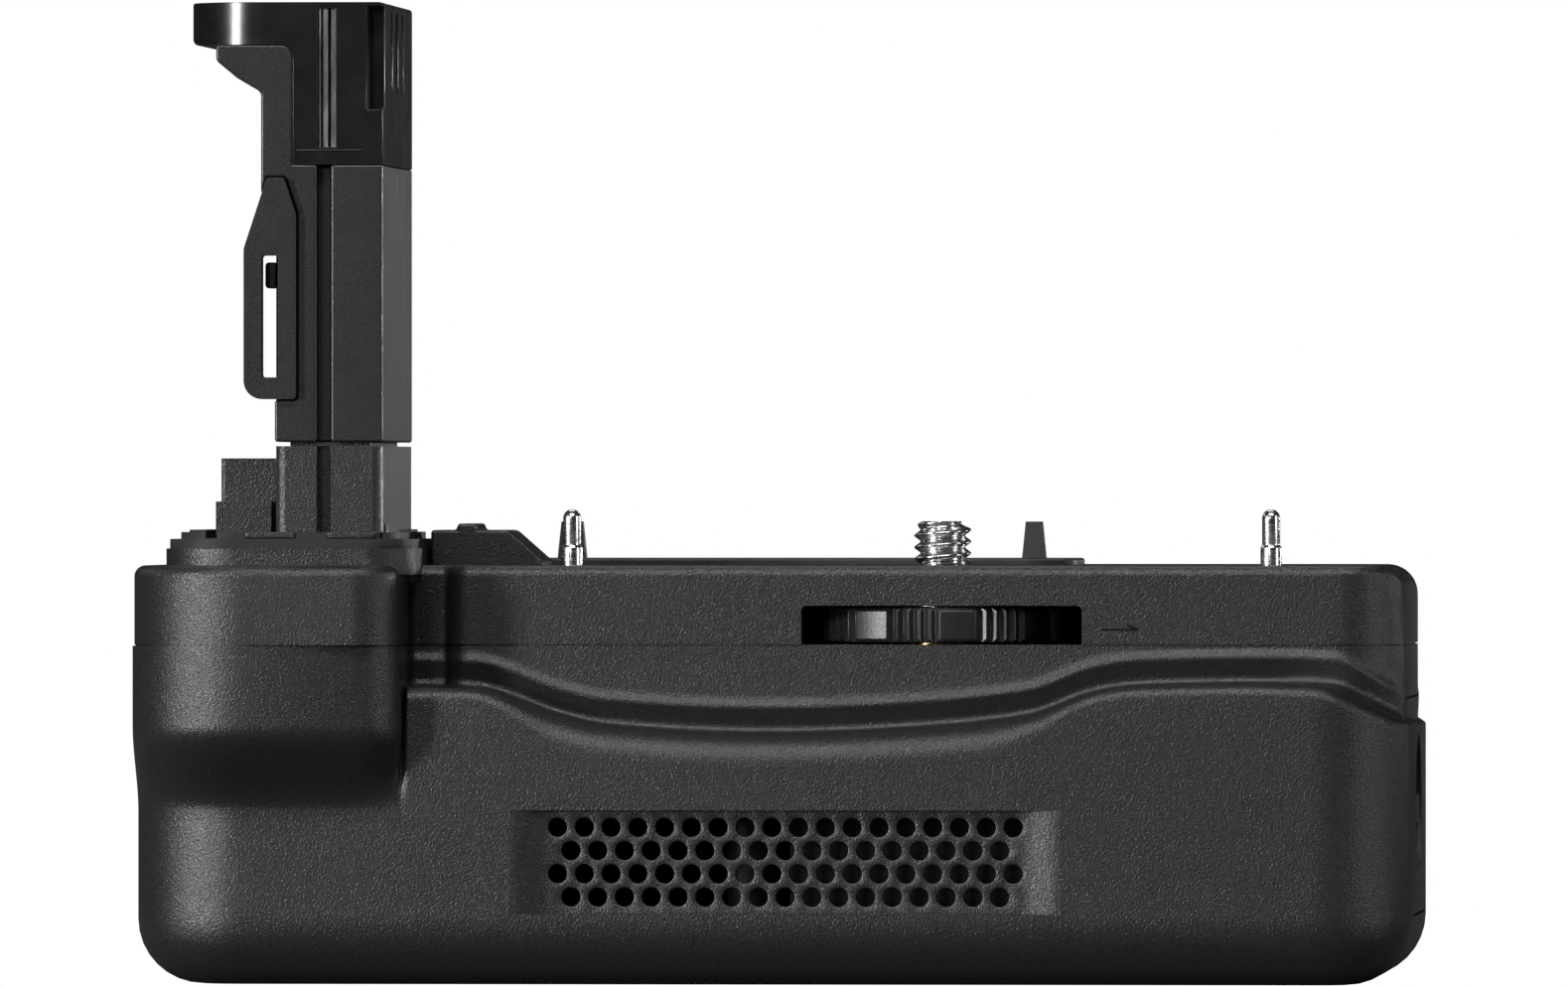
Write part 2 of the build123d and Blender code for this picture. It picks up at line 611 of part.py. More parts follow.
def lower_posts():
    """Posts, bosses and ledges moulded inside the lower housing."""
    posts = [post(x, y, 2.0, WALL, BOARD_HEIGHT) for x, y in board_corners()]
    posts += [post(x, y, BOSS_RADIUS, WALL / 2, PARTING_Z) for x, y in HOUSING_SCREWS]
    left = TRAY_LEFT_X + 3.0
    right = CAP_PLATE_X - 3.0
    front = CAVITY_FRONT_Y
    back = CAVITY_BACK_Y
    posts.append(block(left, right, front - 0.5, front + 1.4, CHASSIS_BASE_Z - 0.8, CHASSIS_BASE_Z))
    posts.append(block(left, right, back - 3.0, back + 0.5, CHASSIS_BASE_Z - 2.0, CHASSIS_BASE_Z))
    return posts


def board_corners():
    """Centres of the four board screws' posts."""
    inset = BOARD_SCREW_INSET
    return [
        (x, y)
        for x in (BOARD_LEFT_X + inset, BOARD_RIGHT_X - inset)
        for y in (BOARD_FRONT_Y + inset, BOARD_BACK_Y - inset)
    ]


def bay_frame():
    """Inner moulding of the magazine bay: end wall, two side walls and the rails under the tray."""
    right = RIGHT_X - BASE_FILLET - BAY_BOSS_GAP
    rail_top = MAGAZINE_BASE_Z - MAGAZINE_RUNNING_GAP
    front = BAY_FRONT_Y - BAY_SIDE_WALL
    back = BAY_BACK_Y + BAY_SIDE_WALL
    frame = block(BAY_WALL_LEFT_X, BAY_WALL_X, front, back, WALL, FAN_TOP_Z + 0.5)
    frame += block(BAY_WALL_LEFT_X, right, front, BAY_FRONT_Y, WALL, LOW_CAVITY_TOP)
    frame += block(BAY_WALL_LEFT_X, right, BAY_BACK_Y, back, WALL, LOW_CAVITY_TOP)
    for y in (TRAY_FRONT_Y + BAY_RAIL, MAGAZINE_CENTRE_Y, TRAY_BACK_Y - BAY_RAIL):
        frame += block(BAY_WALL_LEFT_X, right, y - BAY_RAIL / 2, y + BAY_RAIL / 2, WALL, rail_top)
    for x, y in HOUSING_SCREWS:
        frame -= post(x, y, BOSS_RADIUS + BAY_BOSS_GAP, 0, PARTING_Z)
    return frame


def fan_standoffs():
    """Four spacers that carry the fan over the intake room."""
    bore = FAN_SCREW_RADIUS + 0.05
    return group([tube(x, y, STANDOFF_RADIUS, bore, WALL, FAN_BASE_Z) for x, y in fan_screw_places()])


def screw_holes(z_top):
    """Counterbored holes of the housing screws, from below."""
    cuts = []
    for x, y in HOUSING_SCREWS:
        cuts.append(post(x, y, HOUSING_SCREW_HEAD_RADIUS + 0.1, -1, SCREW_SEAT_Z))
        cuts.append(post(x, y, HOUSING_SCREW_RADIUS + 0.02, SCREW_SEAT_Z - 1, z_top))
    return cuts


def lower_housing():
    """Lower housing with the finger form, the air intake, the magazine bay and its posts."""
    outer = lower_form()
    panel, holes = grille_cut()
    inside = outer & (Part() + lower_posts())
    shell = outer - panel - lower_cavities() + inside
    shell -= holes
    shell -= side_prism(magazine_opening(0), CAP_PLATE_X, RIGHT_X + 1)
    shell -= post(SCREW_X, SCREW_Y, SOCKET_RADIUS, -1, WALL + 1)
    shell -= screw_holes(PARTING_Z + 1)
    for x, y in board_corners():
        shell -= post(x, y, 0.8, BOARD_HEIGHT - 4, BOARD_HEIGHT + 1)
    return shell


# Upper housing


def plinth_plan(inset, z_low, z_high):
    """The plinth under the column, drawn in by an inset."""
    left = COLUMN_LEFT_X - PLINTH_RIMS[0] + inset
    right = COLUMN_RIGHT_X + PLINTH_RIMS[1] - inset
    front = COLUMN_FRONT_Y - PLINTH_RIMS[2] + inset
    back = COLUMN_BACK_Y + PLINTH_RIMS[3] - inset
    corners = [
        (left, back, PLINTH_ROUND - inset),
        (left, front, PLINTH_ROUND - inset),
        (right, front, 5.0 - inset),
        (right, back, 5.0 - inset),
    ]
    return prism(corners, z_low, z_high)


def outlet_pocket(grow, z0, z1):
    """The outlet frame's outline, grown by a gap."""
    return rounded_block(
        OUTLET_LEFT_X - grow, OUTLET_RIGHT_X + grow, OUTLET_FRONT_Y - grow, OUTLET_BACK_Y + grow,
        z0, z1, 2.0 + grow,
    )


def wheel_window():
    """The window in the front wall through which the lock wheel is turned."""
    x0 = SCREW_X - WINDOW_WIDTH / 2 + WINDOW_OFFSET
    corners = [
        (x0, PARTING_Z - 1, 0),
        (x0, PARTING_Z + WINDOW_HEIGHT, 0.6),
        (x0 + WINDOW_WIDTH, PARTING_Z + WINDOW_HEIGHT, 0.6),
        (x0 + WINDOW_WIDTH, PARTING_Z - 1, 0),
    ]
    return front_polygon(corners, WALL_FRONT_Y - 1, CAVITY_FRONT_Y + 1)


def key_block_outline():
    """Front-view outline of the recess key beside the column."""
    x0 = KEY_LEFT_X
    foot = TOP_Z - KEY_POCKET
    return Polyline(
        (x0, foot),
        (x0, TOP_Z + 3.8),
        (x0 + 2.85, TOP_Z + 3.8),
        (x0 + 2.85, TOP_Z + 4.5),
        (x0 + 4.95, TOP_Z + 4.5),
        (x0 + 4.95, TOP_Z + 3.8),
        (x0 + 8.45, TOP_Z + 3.8),
        (KEY_RIGHT_X, TOP_Z + 0.4),
        (KEY_RIGHT_X, foot),
        close=True,
    )


def key_pocket():
    """Shallow pocket in the top face that the recess key is set in."""
    return block(
        KEY_LEFT_X - KEY_FIT, KEY_RIGHT_X + KEY_FIT, KEY_FRONT_Y - KEY_FIT, KEY_BACK_Y + KEY_FIT,
        TOP_Z - KEY_POCKET, TOP_Z + 1,
    )


def upper_housing():
    """Upper housing: top face, wheel window and the plinth that carries the column."""
    shell = upper_form() + plinth_plan(0, TOP_Z - 1, PLINTH_TOP_Z)
    left_x = LEFT_X + UPPER_LEFT_STEP + WALL
    shell -= main_cavity(left_x, PARTING_Z, CEILING_Z) + grip_hollow(left_x, PARTING_Z, CEILING_Z)
    bosses = []
    for x, y in HOUSING_SCREWS:
        bosses.append(post(x, y, BOSS_RADIUS, PARTING_Z, CEILING_Z + 0.5))
    for x in PIN_XS:
        bosses.append(post(x, PIN_Y, PIN_SHANK_RADIUS + 1.4, CEILING_Z - 2, CEILING_Z + 0.5))
    shell += (upper_form() & (Part() + bosses)) - wheel_room()
    shell -= wheel_window()
    shell -= outlet_pocket(0.1, OUTLET_BASE_Z, TOP_Z + 1)
    shell -= key_pocket()
    shell -= duct_throat(CEILING_Z - 1, OUTLET_BASE_Z + 1)
    shell -= post(SCREW_X, SCREW_Y, SCREW_HOLE_RADIUS, CEILING_Z - 1, TOP_Z + 1)
    for x in PIN_XS:
        shell -= post(x, PIN_Y, PIN_SHANK_RADIUS, TOP_Z - PIN_SHANK_LENGTH, TOP_Z + 1)
    for x, y in HOUSING_SCREWS:
        shell -= post(x, y, HOUSING_SCREW_RADIUS, PARTING_Z - 1, CEILING_Z - 1.5)
    shell -= flex_slot(CEILING_Z - 1, PLINTH_TOP_Z + 1)
    for x, y in column_screw_places():
        shell -= post(x, y, 1.0, CEILING_Z - 1, PLINTH_TOP_Z + 1)
    return shell


def wheel_room():
    """Room that the turning wheel needs inside the housing."""
    return post(SCREW_X, SCREW_Y, WHEEL_RADIUS + WHEEL_ROOM, WHEEL_BASE_Z - 2, WHEEL_TOP_Z + WHEEL_ROOM)


def flex_slot(z0, z1):
    """The slot that the column's flat cable passes through."""
    x, y = flex_place()
    half = FLEX_WIDTH / 2 + FLEX_ROOM
    return block(x - half, x + half, y - FLEX_ROOM, y + FLEX_ROOM, z0, z1)


def flex_place():
    """Middle of the flat cable where it rises into the column."""
    return COLUMN_RIGHT_X - BLOCK_WIDTH / 2, COLUMN_FRONT_Y + FLEX_SETBACK


def column_screw_places():
    """Axes of the two screws that hold the column from below."""
    x = COLUMN_RIGHT_X - BLOCK_WIDTH / 2
    return [(x, COLUMN_FRONT_Y + setback) for setback in COLUMN_SCREW_SETBACKS]


def recess_key():
    """Key block beside the column that fits the camera's battery door recess."""
    return front_prism(key_block_outline(), KEY_FRONT_Y, KEY_BACK_Y)


def locating_pins():
    """The two steel pins that line the grip up with the camera."""
    pins = []
    for x in PIN_XS:
        low = TOP_Z - PIN_SHANK_LENGTH
        base_top = TOP_Z + PIN_BASE_LENGTH
        tip = TOP_Z + PIN_LENGTH
        profile = Polyline(
            (0, low),
            (PIN_SHANK_RADIUS, low),
            (PIN_SHANK_RADIUS, TOP_Z),
            (PIN_RADIUS, TOP_Z),
            (PIN_RADIUS, base_top),
            (PIN_TIP_RADIUS, base_top + 0.2),
            (PIN_TIP_RADIUS, tip - PIN_TIP_RADIUS),
        ) + RadiusArc((PIN_TIP_RADIUS, tip - PIN_TIP_RADIUS), (0, tip), -PIN_TIP_RADIUS)
        outline = profile + Line((0, tip), (0, low))
        pins.append(Pos(x, PIN_Y, 0) * revolve(Plane.XZ * make_face(outline), Axis.Z))
    return group(pins)


def outlet_frame():
    """Plate on the top face with the air outlet slots and two tapered guide posts."""
    plate = outlet_pocket(0, OUTLET_BASE_Z, OUTLET_TOP_Z)
    plate = fillet(plate.edges().group_by(Axis.Z)[-1], 0.3)
    middle = (OUTLET_LEFT_X + OUTLET_RIGHT_X) / 2
    slots = []
    for index in range(OUTLET_SLOTS):
        x = middle + OUTLET_SLOT_PITCH * (index - (OUTLET_SLOTS - 1) / 2)
        slots.append(
            rounded_block(
                x - OUTLET_SLOT / 2, x + OUTLET_SLOT / 2, DUCT_FRONT_Y + 1.8, OUTLET_BACK_Y - 2.4,
                OUTLET_BASE_Z - 1, OUTLET_TOP_Z + 1, 1.0,
            )
        )
    plate -= slots
    for x, width in zip(POST_XS, POST_WIDTHS):
        at = Pos(x, OUTLET_FRONT_Y + POST_SETBACK, OUTLET_TOP_Z)
        foot = at * Pos(Z=-0.2) * Rectangle(width, POST_DEPTH)
        head = at * Pos(Z=POST_HEIGHT) * Rectangle(width - POST_TAPER, POST_DEPTH - POST_TAPER)
        plate += loft([foot, head])
    return plate


def duct_throat(z0, z1):
    """The passage from the duct through the top wall."""
    return block(
        OUTLET_LEFT_X + DUCT_WALL, OUTLET_RIGHT_X - DUCT_WALL, DUCT_FRONT_Y + DUCT_WALL,
        OUTLET_BACK_Y - DUCT_WALL, z0, z1,
    )


def outlet_seal():
    """Foam ring between the duct and the top wall."""
    ring = block(
        OUTLET_LEFT_X, OUTLET_RIGHT_X, DUCT_FRONT_Y, OUTLET_BACK_Y, CEILING_Z - SEAL_THICKNESS, CEILING_Z
    )
    return ring - duct_throat(CEILING_Z - 2, CEILING_Z + 1)


def air_duct():
    """Moulded duct from the fan up to the outlet frame."""
    front = FAN_FRONT_Y
    back = FAN_BACK_Y
    top = CEILING_Z - SEAL_THICKNESS
    wide_z = CHASSIS_TOP_Z + 1.2

    def shape(inset, z_low, z_high):
        hood = side_prism(
            Polyline(
                (front + inset, z_low),
                (front + inset, FAN_TOP_Z + 3.0 - inset),
                (DUCT_FRONT_Y + inset, wide_z + 4.0 - inset),
                (back - inset, wide_z + 4.0 - inset),
                (back - inset, z_low),
                close=True,
            ),
            FAN_LEFT_X + inset,
            FAN_RIGHT_X - inset,
        )
        wide = block(
            OUTLET_LEFT_X + inset, OUTLET_RIGHT_X - inset, DUCT_FRONT_Y + inset,
            OUTLET_BACK_Y - inset, wide_z + inset, z_high,
        )
        return hood + wide

    outer = shape(0, FAN_TOP_Z, top)
    return outer - shape(DUCT_WALL, FAN_TOP_Z - 1, top + 1)


# Camera screw, its wheel and the chassis that carries them


def chassis_plate():
    """Steel plate over the magazine that takes the pull of the camera screw."""
    x0 = TRAY_LEFT_X + 1.0
    x1 = CAP_PLATE_X - 0.5
    plate = rounded_block(
        x0, x1, CAVITY_FRONT_Y + 0.3, CAVITY_BACK_Y - 0.3, CHASSIS_BASE_Z, CHASSIS_TOP_Z, 2.0
    )
    for x, y in HOUSING_SCREWS:
        plate -= post(x, y, BOSS_RADIUS + BAY_BOSS_GAP, CHASSIS_BASE_Z - 1, CHASSIS_TOP_Z + 1)
    for inset in CHASSIS_SLOT_INSETS:
        plate -= rounded_block(
            x1 - inset, x1 - inset + CHASSIS_SLOT_WIDTH, MAGAZINE_CENTRE_Y - 8, MAGAZINE_CENTRE_Y + 14,
            CHASSIS_BASE_Z - 1, CHASSIS_TOP_Z + 1, 2.0,
        )
    return plate - post(SCREW_X, SCREW_Y, SHANK_RADIUS + 1.4, CHASSIS_BASE_Z - 1, CHASSIS_TOP_Z + 1)


def wheel_bush():
    """Flanged brass bush in the chassis plate."""
    bore = SHANK_RADIUS + RUNNING_CLEARANCE
    bush = post(SCREW_X, SCREW_Y, SHANK_RADIUS + 1.4, CHASSIS_BASE_Z, WHEEL_BASE_Z - 0.1)
    bush += post(SCREW_X, SCREW_Y, SHANK_RADIUS + 3.6, CHASSIS_TOP_Z, CHASSIS_TOP_Z + 1.2)
    return bush - post(SCREW_X, SCREW_Y, bore, CHASSIS_BASE_Z - 1, WHEEL_TOP_Z)


def lock_wheel():
    """Thumb wheel with ribs and smooth lobes round its rim."""
    wheel = post(0, 0, WHEEL_RADIUS, WHEEL_BASE_Z, WHEEL_TOP_Z)
    wheel = chamfer(wheel.edges().filter_by(GeomType.CIRCLE), 0.35)
    groove = Rot(Z=45) * Box(2 * WHEEL_RIB_DEPTH, 2 * WHEEL_RIB_DEPTH, WHEEL_HEIGHT + 2)
    grooves = []
    lobe_angle = 360 / WHEEL_LOBES
    for lobe in range(WHEEL_LOBES):
        for step in (0.26, 0.38, 0.50, 0.62, 0.74):
            turn = Rot(Z=lobe_angle * (lobe + step))
            grooves.append(turn * Pos(WHEEL_RADIUS + 0.1, 0, (WHEEL_BASE_Z + WHEEL_TOP_Z) / 2) * groove)
    wheel -= grooves
    wheel -= post(0, 0, WHEEL_RADIUS - 3.2, WHEEL_TOP_Z - 0.8, WHEEL_TOP_Z + 1) - post(
        0, 0, SHANK_RADIUS + 2.2, WHEEL_TOP_Z - 2, WHEEL_TOP_Z + 2
    )
    wheel -= post(0, 0, SHANK_RADIUS, WHEEL_BASE_Z - 1, WHEEL_TOP_Z + 1)
    return Pos(SCREW_X, SCREW_Y, 0) * wheel


def camera_screw():
    """Screw that goes into the camera's tripod socket."""
    tip = TOP_Z + THREAD_LENGTH
    clip_z = WHEEL_TOP_Z + 0.1
    outline = Polyline(
        (0, CHASSIS_BASE_Z + 0.3),
        (SHANK_RADIUS, CHASSIS_BASE_Z + 0.3),
        (SHANK_RADIUS, clip_z),
        (SHANK_RADIUS - 0.5, clip_z),
        (SHANK_RADIUS - 0.5, clip_z + 0.8),
        (SHANK_RADIUS, clip_z + 0.8),
        (SHANK_RADIUS, TOP_Z),
        (THREAD_RADIUS, TOP_Z),
        (THREAD_RADIUS, tip - 0.5),
        (THREAD_RADIUS - 0.5, tip),
        (0, tip),
        close=True,
    )
    return Pos(SCREW_X, SCREW_Y, 0) * revolve(Plane.XZ * make_face(outline), Axis.Z)


def wheel_clip():
    """Spring clip that holds the wheel on its screw."""
    z0 = WHEEL_TOP_Z + 0.1
    clip = tube(SCREW_X, SCREW_Y, SHANK_RADIUS + 1.3, SHANK_RADIUS - 0.5, z0, z0 + 0.8)
    return clip - block(SCREW_X, SCREW_X + 6, SCREW_Y - 1.6, SCREW_Y + 1.6, z0 - 1, z0 + 2)


def tripod_socket():
    """Threaded bush in the base, so that the grip itself can go on a tripod."""
    flange_z = WALL
    bush = post(SCREW_X, SCREW_Y, SOCKET_RADIUS, 0.2, flange_z)
    bush += post(SCREW_X, SCREW_Y, SOCKET_RADIUS + 0.8, flange_z, flange_z + 1.2)
    bush += post(SCREW_X, SCREW_Y, SOCKET_RADIUS - 0.8, flange_z, SOCKET_DEPTH + 1.2)
    return bush - post(SCREW_X, SCREW_Y, SOCKET_BORE_RADIUS, -1, SOCKET_DEPTH + 0.2)


# Column


def gasket_rings():
    """Stepped rubber gasket between the plinth and the camera."""
    ring = None
    z = PLINTH_TOP_Z
    for step, setback in zip(GASKET_STEPS, GASKET_SETBACKS):
        layer = plinth_plan(setback, z, z + step)
        ring = layer if ring is None else ring + layer
        z += step
    hole = block(
        COLUMN_LEFT_X + 2.0, COLUMN_RIGHT_X, COLUMN_FRONT_Y, COLUMN_BACK_Y, PLINTH_TOP_Z - 1, z + 1
    )
    return ring - hole


def column_block():
    """Foot of the column, screwed to the plinth."""
    left = COLUMN_RIGHT_X - BLOCK_WIDTH
    foot = block(
        COLUMN_LEFT_X + 2.0, COLUMN_RIGHT_X, COLUMN_FRONT_Y, COLUMN_BACK_Y, PLINTH_TOP_Z, COLUMN_BASE_Z - 0.9
    )
    body = rounded_block(
        left, COLUMN_RIGHT_X, COLUMN_FRONT_Y, COLUMN_BACK_Y, PLINTH_TOP_Z, BLOCK_TOP_Z, 1.2
    )
    neck = block(
        left + 1.5, COLUMN_RIGHT_X - 1.5, COLUMN_FRONT_Y + 1.5, COLUMN_BACK_Y - 1.5, BLOCK_TOP_Z, STEM_BASE_Z
    )
    shape = foot + body + neck
    shape -= block(
        GROOVE_X, GROOVE_X + GROOVE_WIDTH, COLUMN_FRONT_Y - 1, COLUMN_FRONT_Y + GROOVE_DEPTH,
        COLUMN_BASE_Z - 0.9, BLOCK_TOP_Z,
    )
    shape -= flex_slot(PLINTH_TOP_Z - 1, COLUMN_BASE_Z + 2)
    for sx, sy in column_screw_places():
        shape -= post(sx, sy, 1.0, PLINTH_TOP_Z - 1, COLUMN_BASE_Z + 3)
    return shape


def side_block():
    """Stepped block that fills the battery bay beside the column's foot."""
    left = COLUMN_LEFT_X + 3.0
    right = COLUMN_RIGHT_X - BLOCK_WIDTH
    low = COLUMN_BASE_Z - 0.9
    tall = block(left + 0.2, right, COLUMN_FRONT_Y + 6.0, COLUMN_BACK_Y - 2, low, COLUMN_BASE_Z + 7.7)
    step = block(left, right - 0.6, COLUMN_FRONT_Y + 2.0, COLUMN_FRONT_Y + 6.0, low, COLUMN_BASE_Z + 3.05)
    tall = fillet(tall.edges().filter_by(Axis.Z).sort_by(Axis.X)[0:2], 0.5)
    return tall + step


def column_stem():
    """The long upright of the column."""
    left_top = COLUMN_RIGHT_X - STEM_WIDTH
    step_z = CAP_BASE_Z - STEM_STEP_DROP
    bracket = COLUMN_LEFT_X + 3.2
    corners = [
        (STEM_LEFT_X, STEM_BASE_Z, 0),
        (COLUMN_RIGHT_X, STEM_BASE_Z, 0),
        (COLUMN_RIGHT_X, CAP_BASE_Z, 0),
        (COLUMN_RIGHT_X - CAP_LEG_WIDTH, CAP_BASE_Z, 0),
        (COLUMN_RIGHT_X - CAP_LEG_WIDTH, CAP_ARM_Z, 1.3),
        (bracket, CAP_ARM_Z, 0),
        (bracket, CAP_ARM_Z - 1.7, 0.8),
        (bracket + 2.3, CAP_ARM_Z - 3.6, 1.0),
        (left_top, CAP_ARM_Z - 5.1, 0.8),
        (left_top, step_z, 0.4),
        (STEM_LEFT_X, step_z - 1.2, 0.4),
    ]
    stem = front_polygon(corners, COLUMN_FRONT_Y, COLUMN_BACK_Y)
    stem -= block(
        GROOVE_X, GROOVE_X + GROOVE_WIDTH, COLUMN_FRONT_Y - 1, COLUMN_FRONT_Y + GROOVE_DEPTH,
        STEM_BASE_Z - 1, CAP_BASE_Z + 1,
    )
    return stem - front_prism(holder_outline(0.1), COLUMN_FRONT_Y - 1, COLUMN_FRONT_Y + 1.6)


def holder_outline(grow):
    """Front-view outline of the door holder."""
    left = STEM_LEFT_X - 3.3 - grow
    right = STEM_LEFT_X + 2.36 + grow
    low = HOLDER_BASE_Z - grow
    high = HOLDER_TOP_Z + grow
    points = [
        (left, low),
        (left, high - 7.65),
        (STEM_LEFT_X - 0.8 - grow, high),
        (STEM_LEFT_X + 1.06 + grow, high),
        (right, high - 4.0),
        (right, low),
    ]
    return FilletPolyline(*points, radius=[2.0, 0.6, 0.3, 0.3, 0.6, 0.4], close=True)


def door_holder():
    """Flat arm on the column's front that carries the camera's battery door."""
    arm = front_prism(holder_outline(0), COLUMN_FRONT_Y - 0.8, COLUMN_FRONT_Y + 1.5)
    left = STEM_LEFT_X - 1.35
    right = STEM_LEFT_X + 0.45
    low = HOLDER_BASE_Z + 2.35
    high = HOLDER_TOP_Z - 8.4
    slot = [(left, low, 0.3), (left, high, 0.3), (right, high, 0.3), (right, low, 0.3)]
    return arm - front_polygon(slot, COLUMN_FRONT_Y - 2, COLUMN_FRONT_Y + 3)


def holder_peg():
    """Peg on the stem's left side, seen through the slot of the door holder."""
    z = HOLDER_TOP_Z - 10.5
    peg = block(
        STEM_LEFT_X - 1.2, STEM_LEFT_X, COLUMN_FRONT_Y + 2.0, COLUMN_FRONT_Y + 5.0, z - 1.4, z + 1.4
    )
    return fillet(peg.edges().filter_by(Axis.Y).sort_by(Axis.X)[0:2], 0.4)


def column_cap():
    """Glossy cap with the contact slots, hooked over the top of the stem."""
    leg_left = COLUMN_RIGHT_X - CAP_LEG_WIDTH
    outline = FilletPolyline(
        (COLUMN_LEFT_X, CAP_ARM_Z),
        (COLUMN_LEFT_X, COLUMN_TOP_Z),
        (COLUMN_RIGHT_X, COLUMN_TOP_Z),
        (COLUMN_RIGHT_X, CAP_BASE_Z),
        (leg_left, CAP_BASE_Z),
        (leg_left, CAP_ARM_Z),
        radius=[1.0, 0.4, 0.4, 0, 0, 1.3],
        close=True,
    )
    cap = front_prism(outline, COLUMN_FRONT_Y, COLUMN_BACK_Y)
    ends = rounded_plan(COLUMN_LEFT_X, COLUMN_RIGHT_X + 20, COLUMN_FRONT_Y, COLUMN_BACK_Y, CAP_ROUND)
    cap &= prism(ends, CAP_BASE_Z - 1, COLUMN_TOP_Z + 1)
    cap -= contact_slot(COLUMN_FRONT_Y - 1)
    notch_x = COLUMN_RIGHT_X - 1.75
    cap -= block(
        notch_x, COLUMN_RIGHT_X + 1, COLUMN_FRONT_Y - 1, COLUMN_FRONT_Y + 2.6,
        CAP_BASE_Z + 5.9, COLUMN_TOP_Z - 0.4,
    )
    for y0, y1 in side_slots():
        cap -= block(notch_x, COLUMN_RIGHT_X + 1, y0, y1, CAP_BASE_Z + 8.1, COLUMN_TOP_Z - 0.9)
    return cap


def contact_slot(y0):
    """The tall slot in the cap's front that shows the contact strips."""
    return block(
        GROOVE_X + 0.1, GROOVE_X + 0.1 + CONTACT_SLOT_WIDTH, y0, COLUMN_FRONT_Y + CONTACT_SLOT_DEPTH,
        CAP_BASE_Z + 1.9, COLUMN_TOP_Z - 0.7,
    )


def side_slots():
    """Front and back of each contact slot in the cap's right side."""
    first = COLUMN_FRONT_Y + 10.9
    return [(first, first + 2.0), (first + 6.4, first + 9.2), (first + 14.0, first + 16.0)]


def cap_terminals():
    """Contact strips in the cap's front slot and side slots."""
    strips = []
    x0 = GROOVE_X + 0.1
    z0 = CAP_BASE_Z + 1.9
    z1 = COLUMN_TOP_Z - 0.7
    back = COLUMN_FRONT_Y + CONTACT_SLOT_DEPTH
    for left, width in ((0.1, 0.2), (0.55, 0.5), (1.4, 0.45)):
        strips.append(block(x0 + left, x0 + left + width, COLUMN_FRONT_Y + 0.5, back, z0, z1))
    notch_x = COLUMN_RIGHT_X - 1.75
    for y0, y1 in side_slots():
        middle = (y0 + y1) / 2
        strips.append(
            block(notch_x, notch_x + 1.2, middle - 0.4, middle + 0.4, CAP_BASE_Z + 9.0, COLUMN_TOP_Z - 1.6)
        )
    return group(strips)


def column_screws():
    """Screws that hold the column's foot from inside the housing."""
    screws = []
    for x, y in column_screw_places():
        head = post(x, y, 1.9, CEILING_Z - 1.3, CEILING_Z)
        screws.append(head + post(x, y, 0.98, CEILING_Z, COLUMN_BASE_Z + 2.5))
    return group(screws)


# Inside the left end


def circuit_board():
    """Circuit board that manages the battery and the fan."""
    board = rounded_block(
        BOARD_LEFT_X, BOARD_RIGHT_X, BOARD_FRONT_Y, BOARD_BACK_Y, BOARD_HEIGHT, BOARD_TOP_Z, 1.0
    )
    for x, y in board_corners():
        board -= post(x, y, 1.1, BOARD_HEIGHT - 1, BOARD_TOP_Z + 1)
    return board


def board_components():
    """Chips, coils and sockets on the board, and its four screws."""
    x0 = BOARD_LEFT_X
    y0 = BOARD_FRONT_Y
    z = BOARD_TOP_Z
    parts = [
        block(x0 + 6, x0 + 13, y0 + 8, y0 + 15, z, z + 1.2),
        block(x0 + 2, x0 + 5, y0 + 9, y0 + 12, z, z + 0.9),
        block(x0 + 7, x0 + 12, y0 + 24, y0 + 29, z, z + 2.4),
        block(x0 + 2, x0 + 5, y0 + 25, y0 + 27, z, z + 0.8),
    ]
    parts += flex_sockets()
    for x, y in board_corners():
        parts.append(post(x, y, 1.7, z, z + 0.9) + post(x, y, 0.8, BOARD_HEIGHT - 3, z))
    return group(parts)


def flex_sockets():
    """Sockets of the two flat cables."""
    z = BOARD_TOP_Z
    x, y = flex_place()
    half = FLEX_WIDTH / 2 + 1.2
    column_socket = block(x - half, x + half, y - 2.4, y - 0.2, z, z + 1.6)
    right = BOARD_RIGHT_X - 0.4
    fan_socket = block(right - 2.8, right, BOARD_FRONT_Y + 16, BOARD_FRONT_Y + 22, z, z + 1.6)
    return [column_socket, fan_socket]


def column_flex():
    """Flat cable from the column's contacts down to the board."""
    x, y = flex_place()
    half = FLEX_WIDTH / 2
    return block(x - half, x + half, y - 0.2, y - 0.2 + FLEX_THICKNESS, BOARD_TOP_Z, COLUMN_BASE_Z + 1.5)


def fan_flex():
    """Flat cable from the fan to the board."""
    start = BOARD_RIGHT_X - 0.4
    middle = (start + FAN_LEFT_X) / 2
    low = BOARD_TOP_Z + 0.6
    high = FAN_BASE_Z + 3.0
    path = FilletPolyline((start, low), (middle, low), (middle, high), (FAN_LEFT_X, high), radius=0.5)
    strip = Pos(0, BOARD_FRONT_Y + 16.5, 0) * (Plane.XZ * trace(path, FLEX_THICKNESS))
    return extrude(strip, 5.0, dir=(0, 1, 0))


# Fan


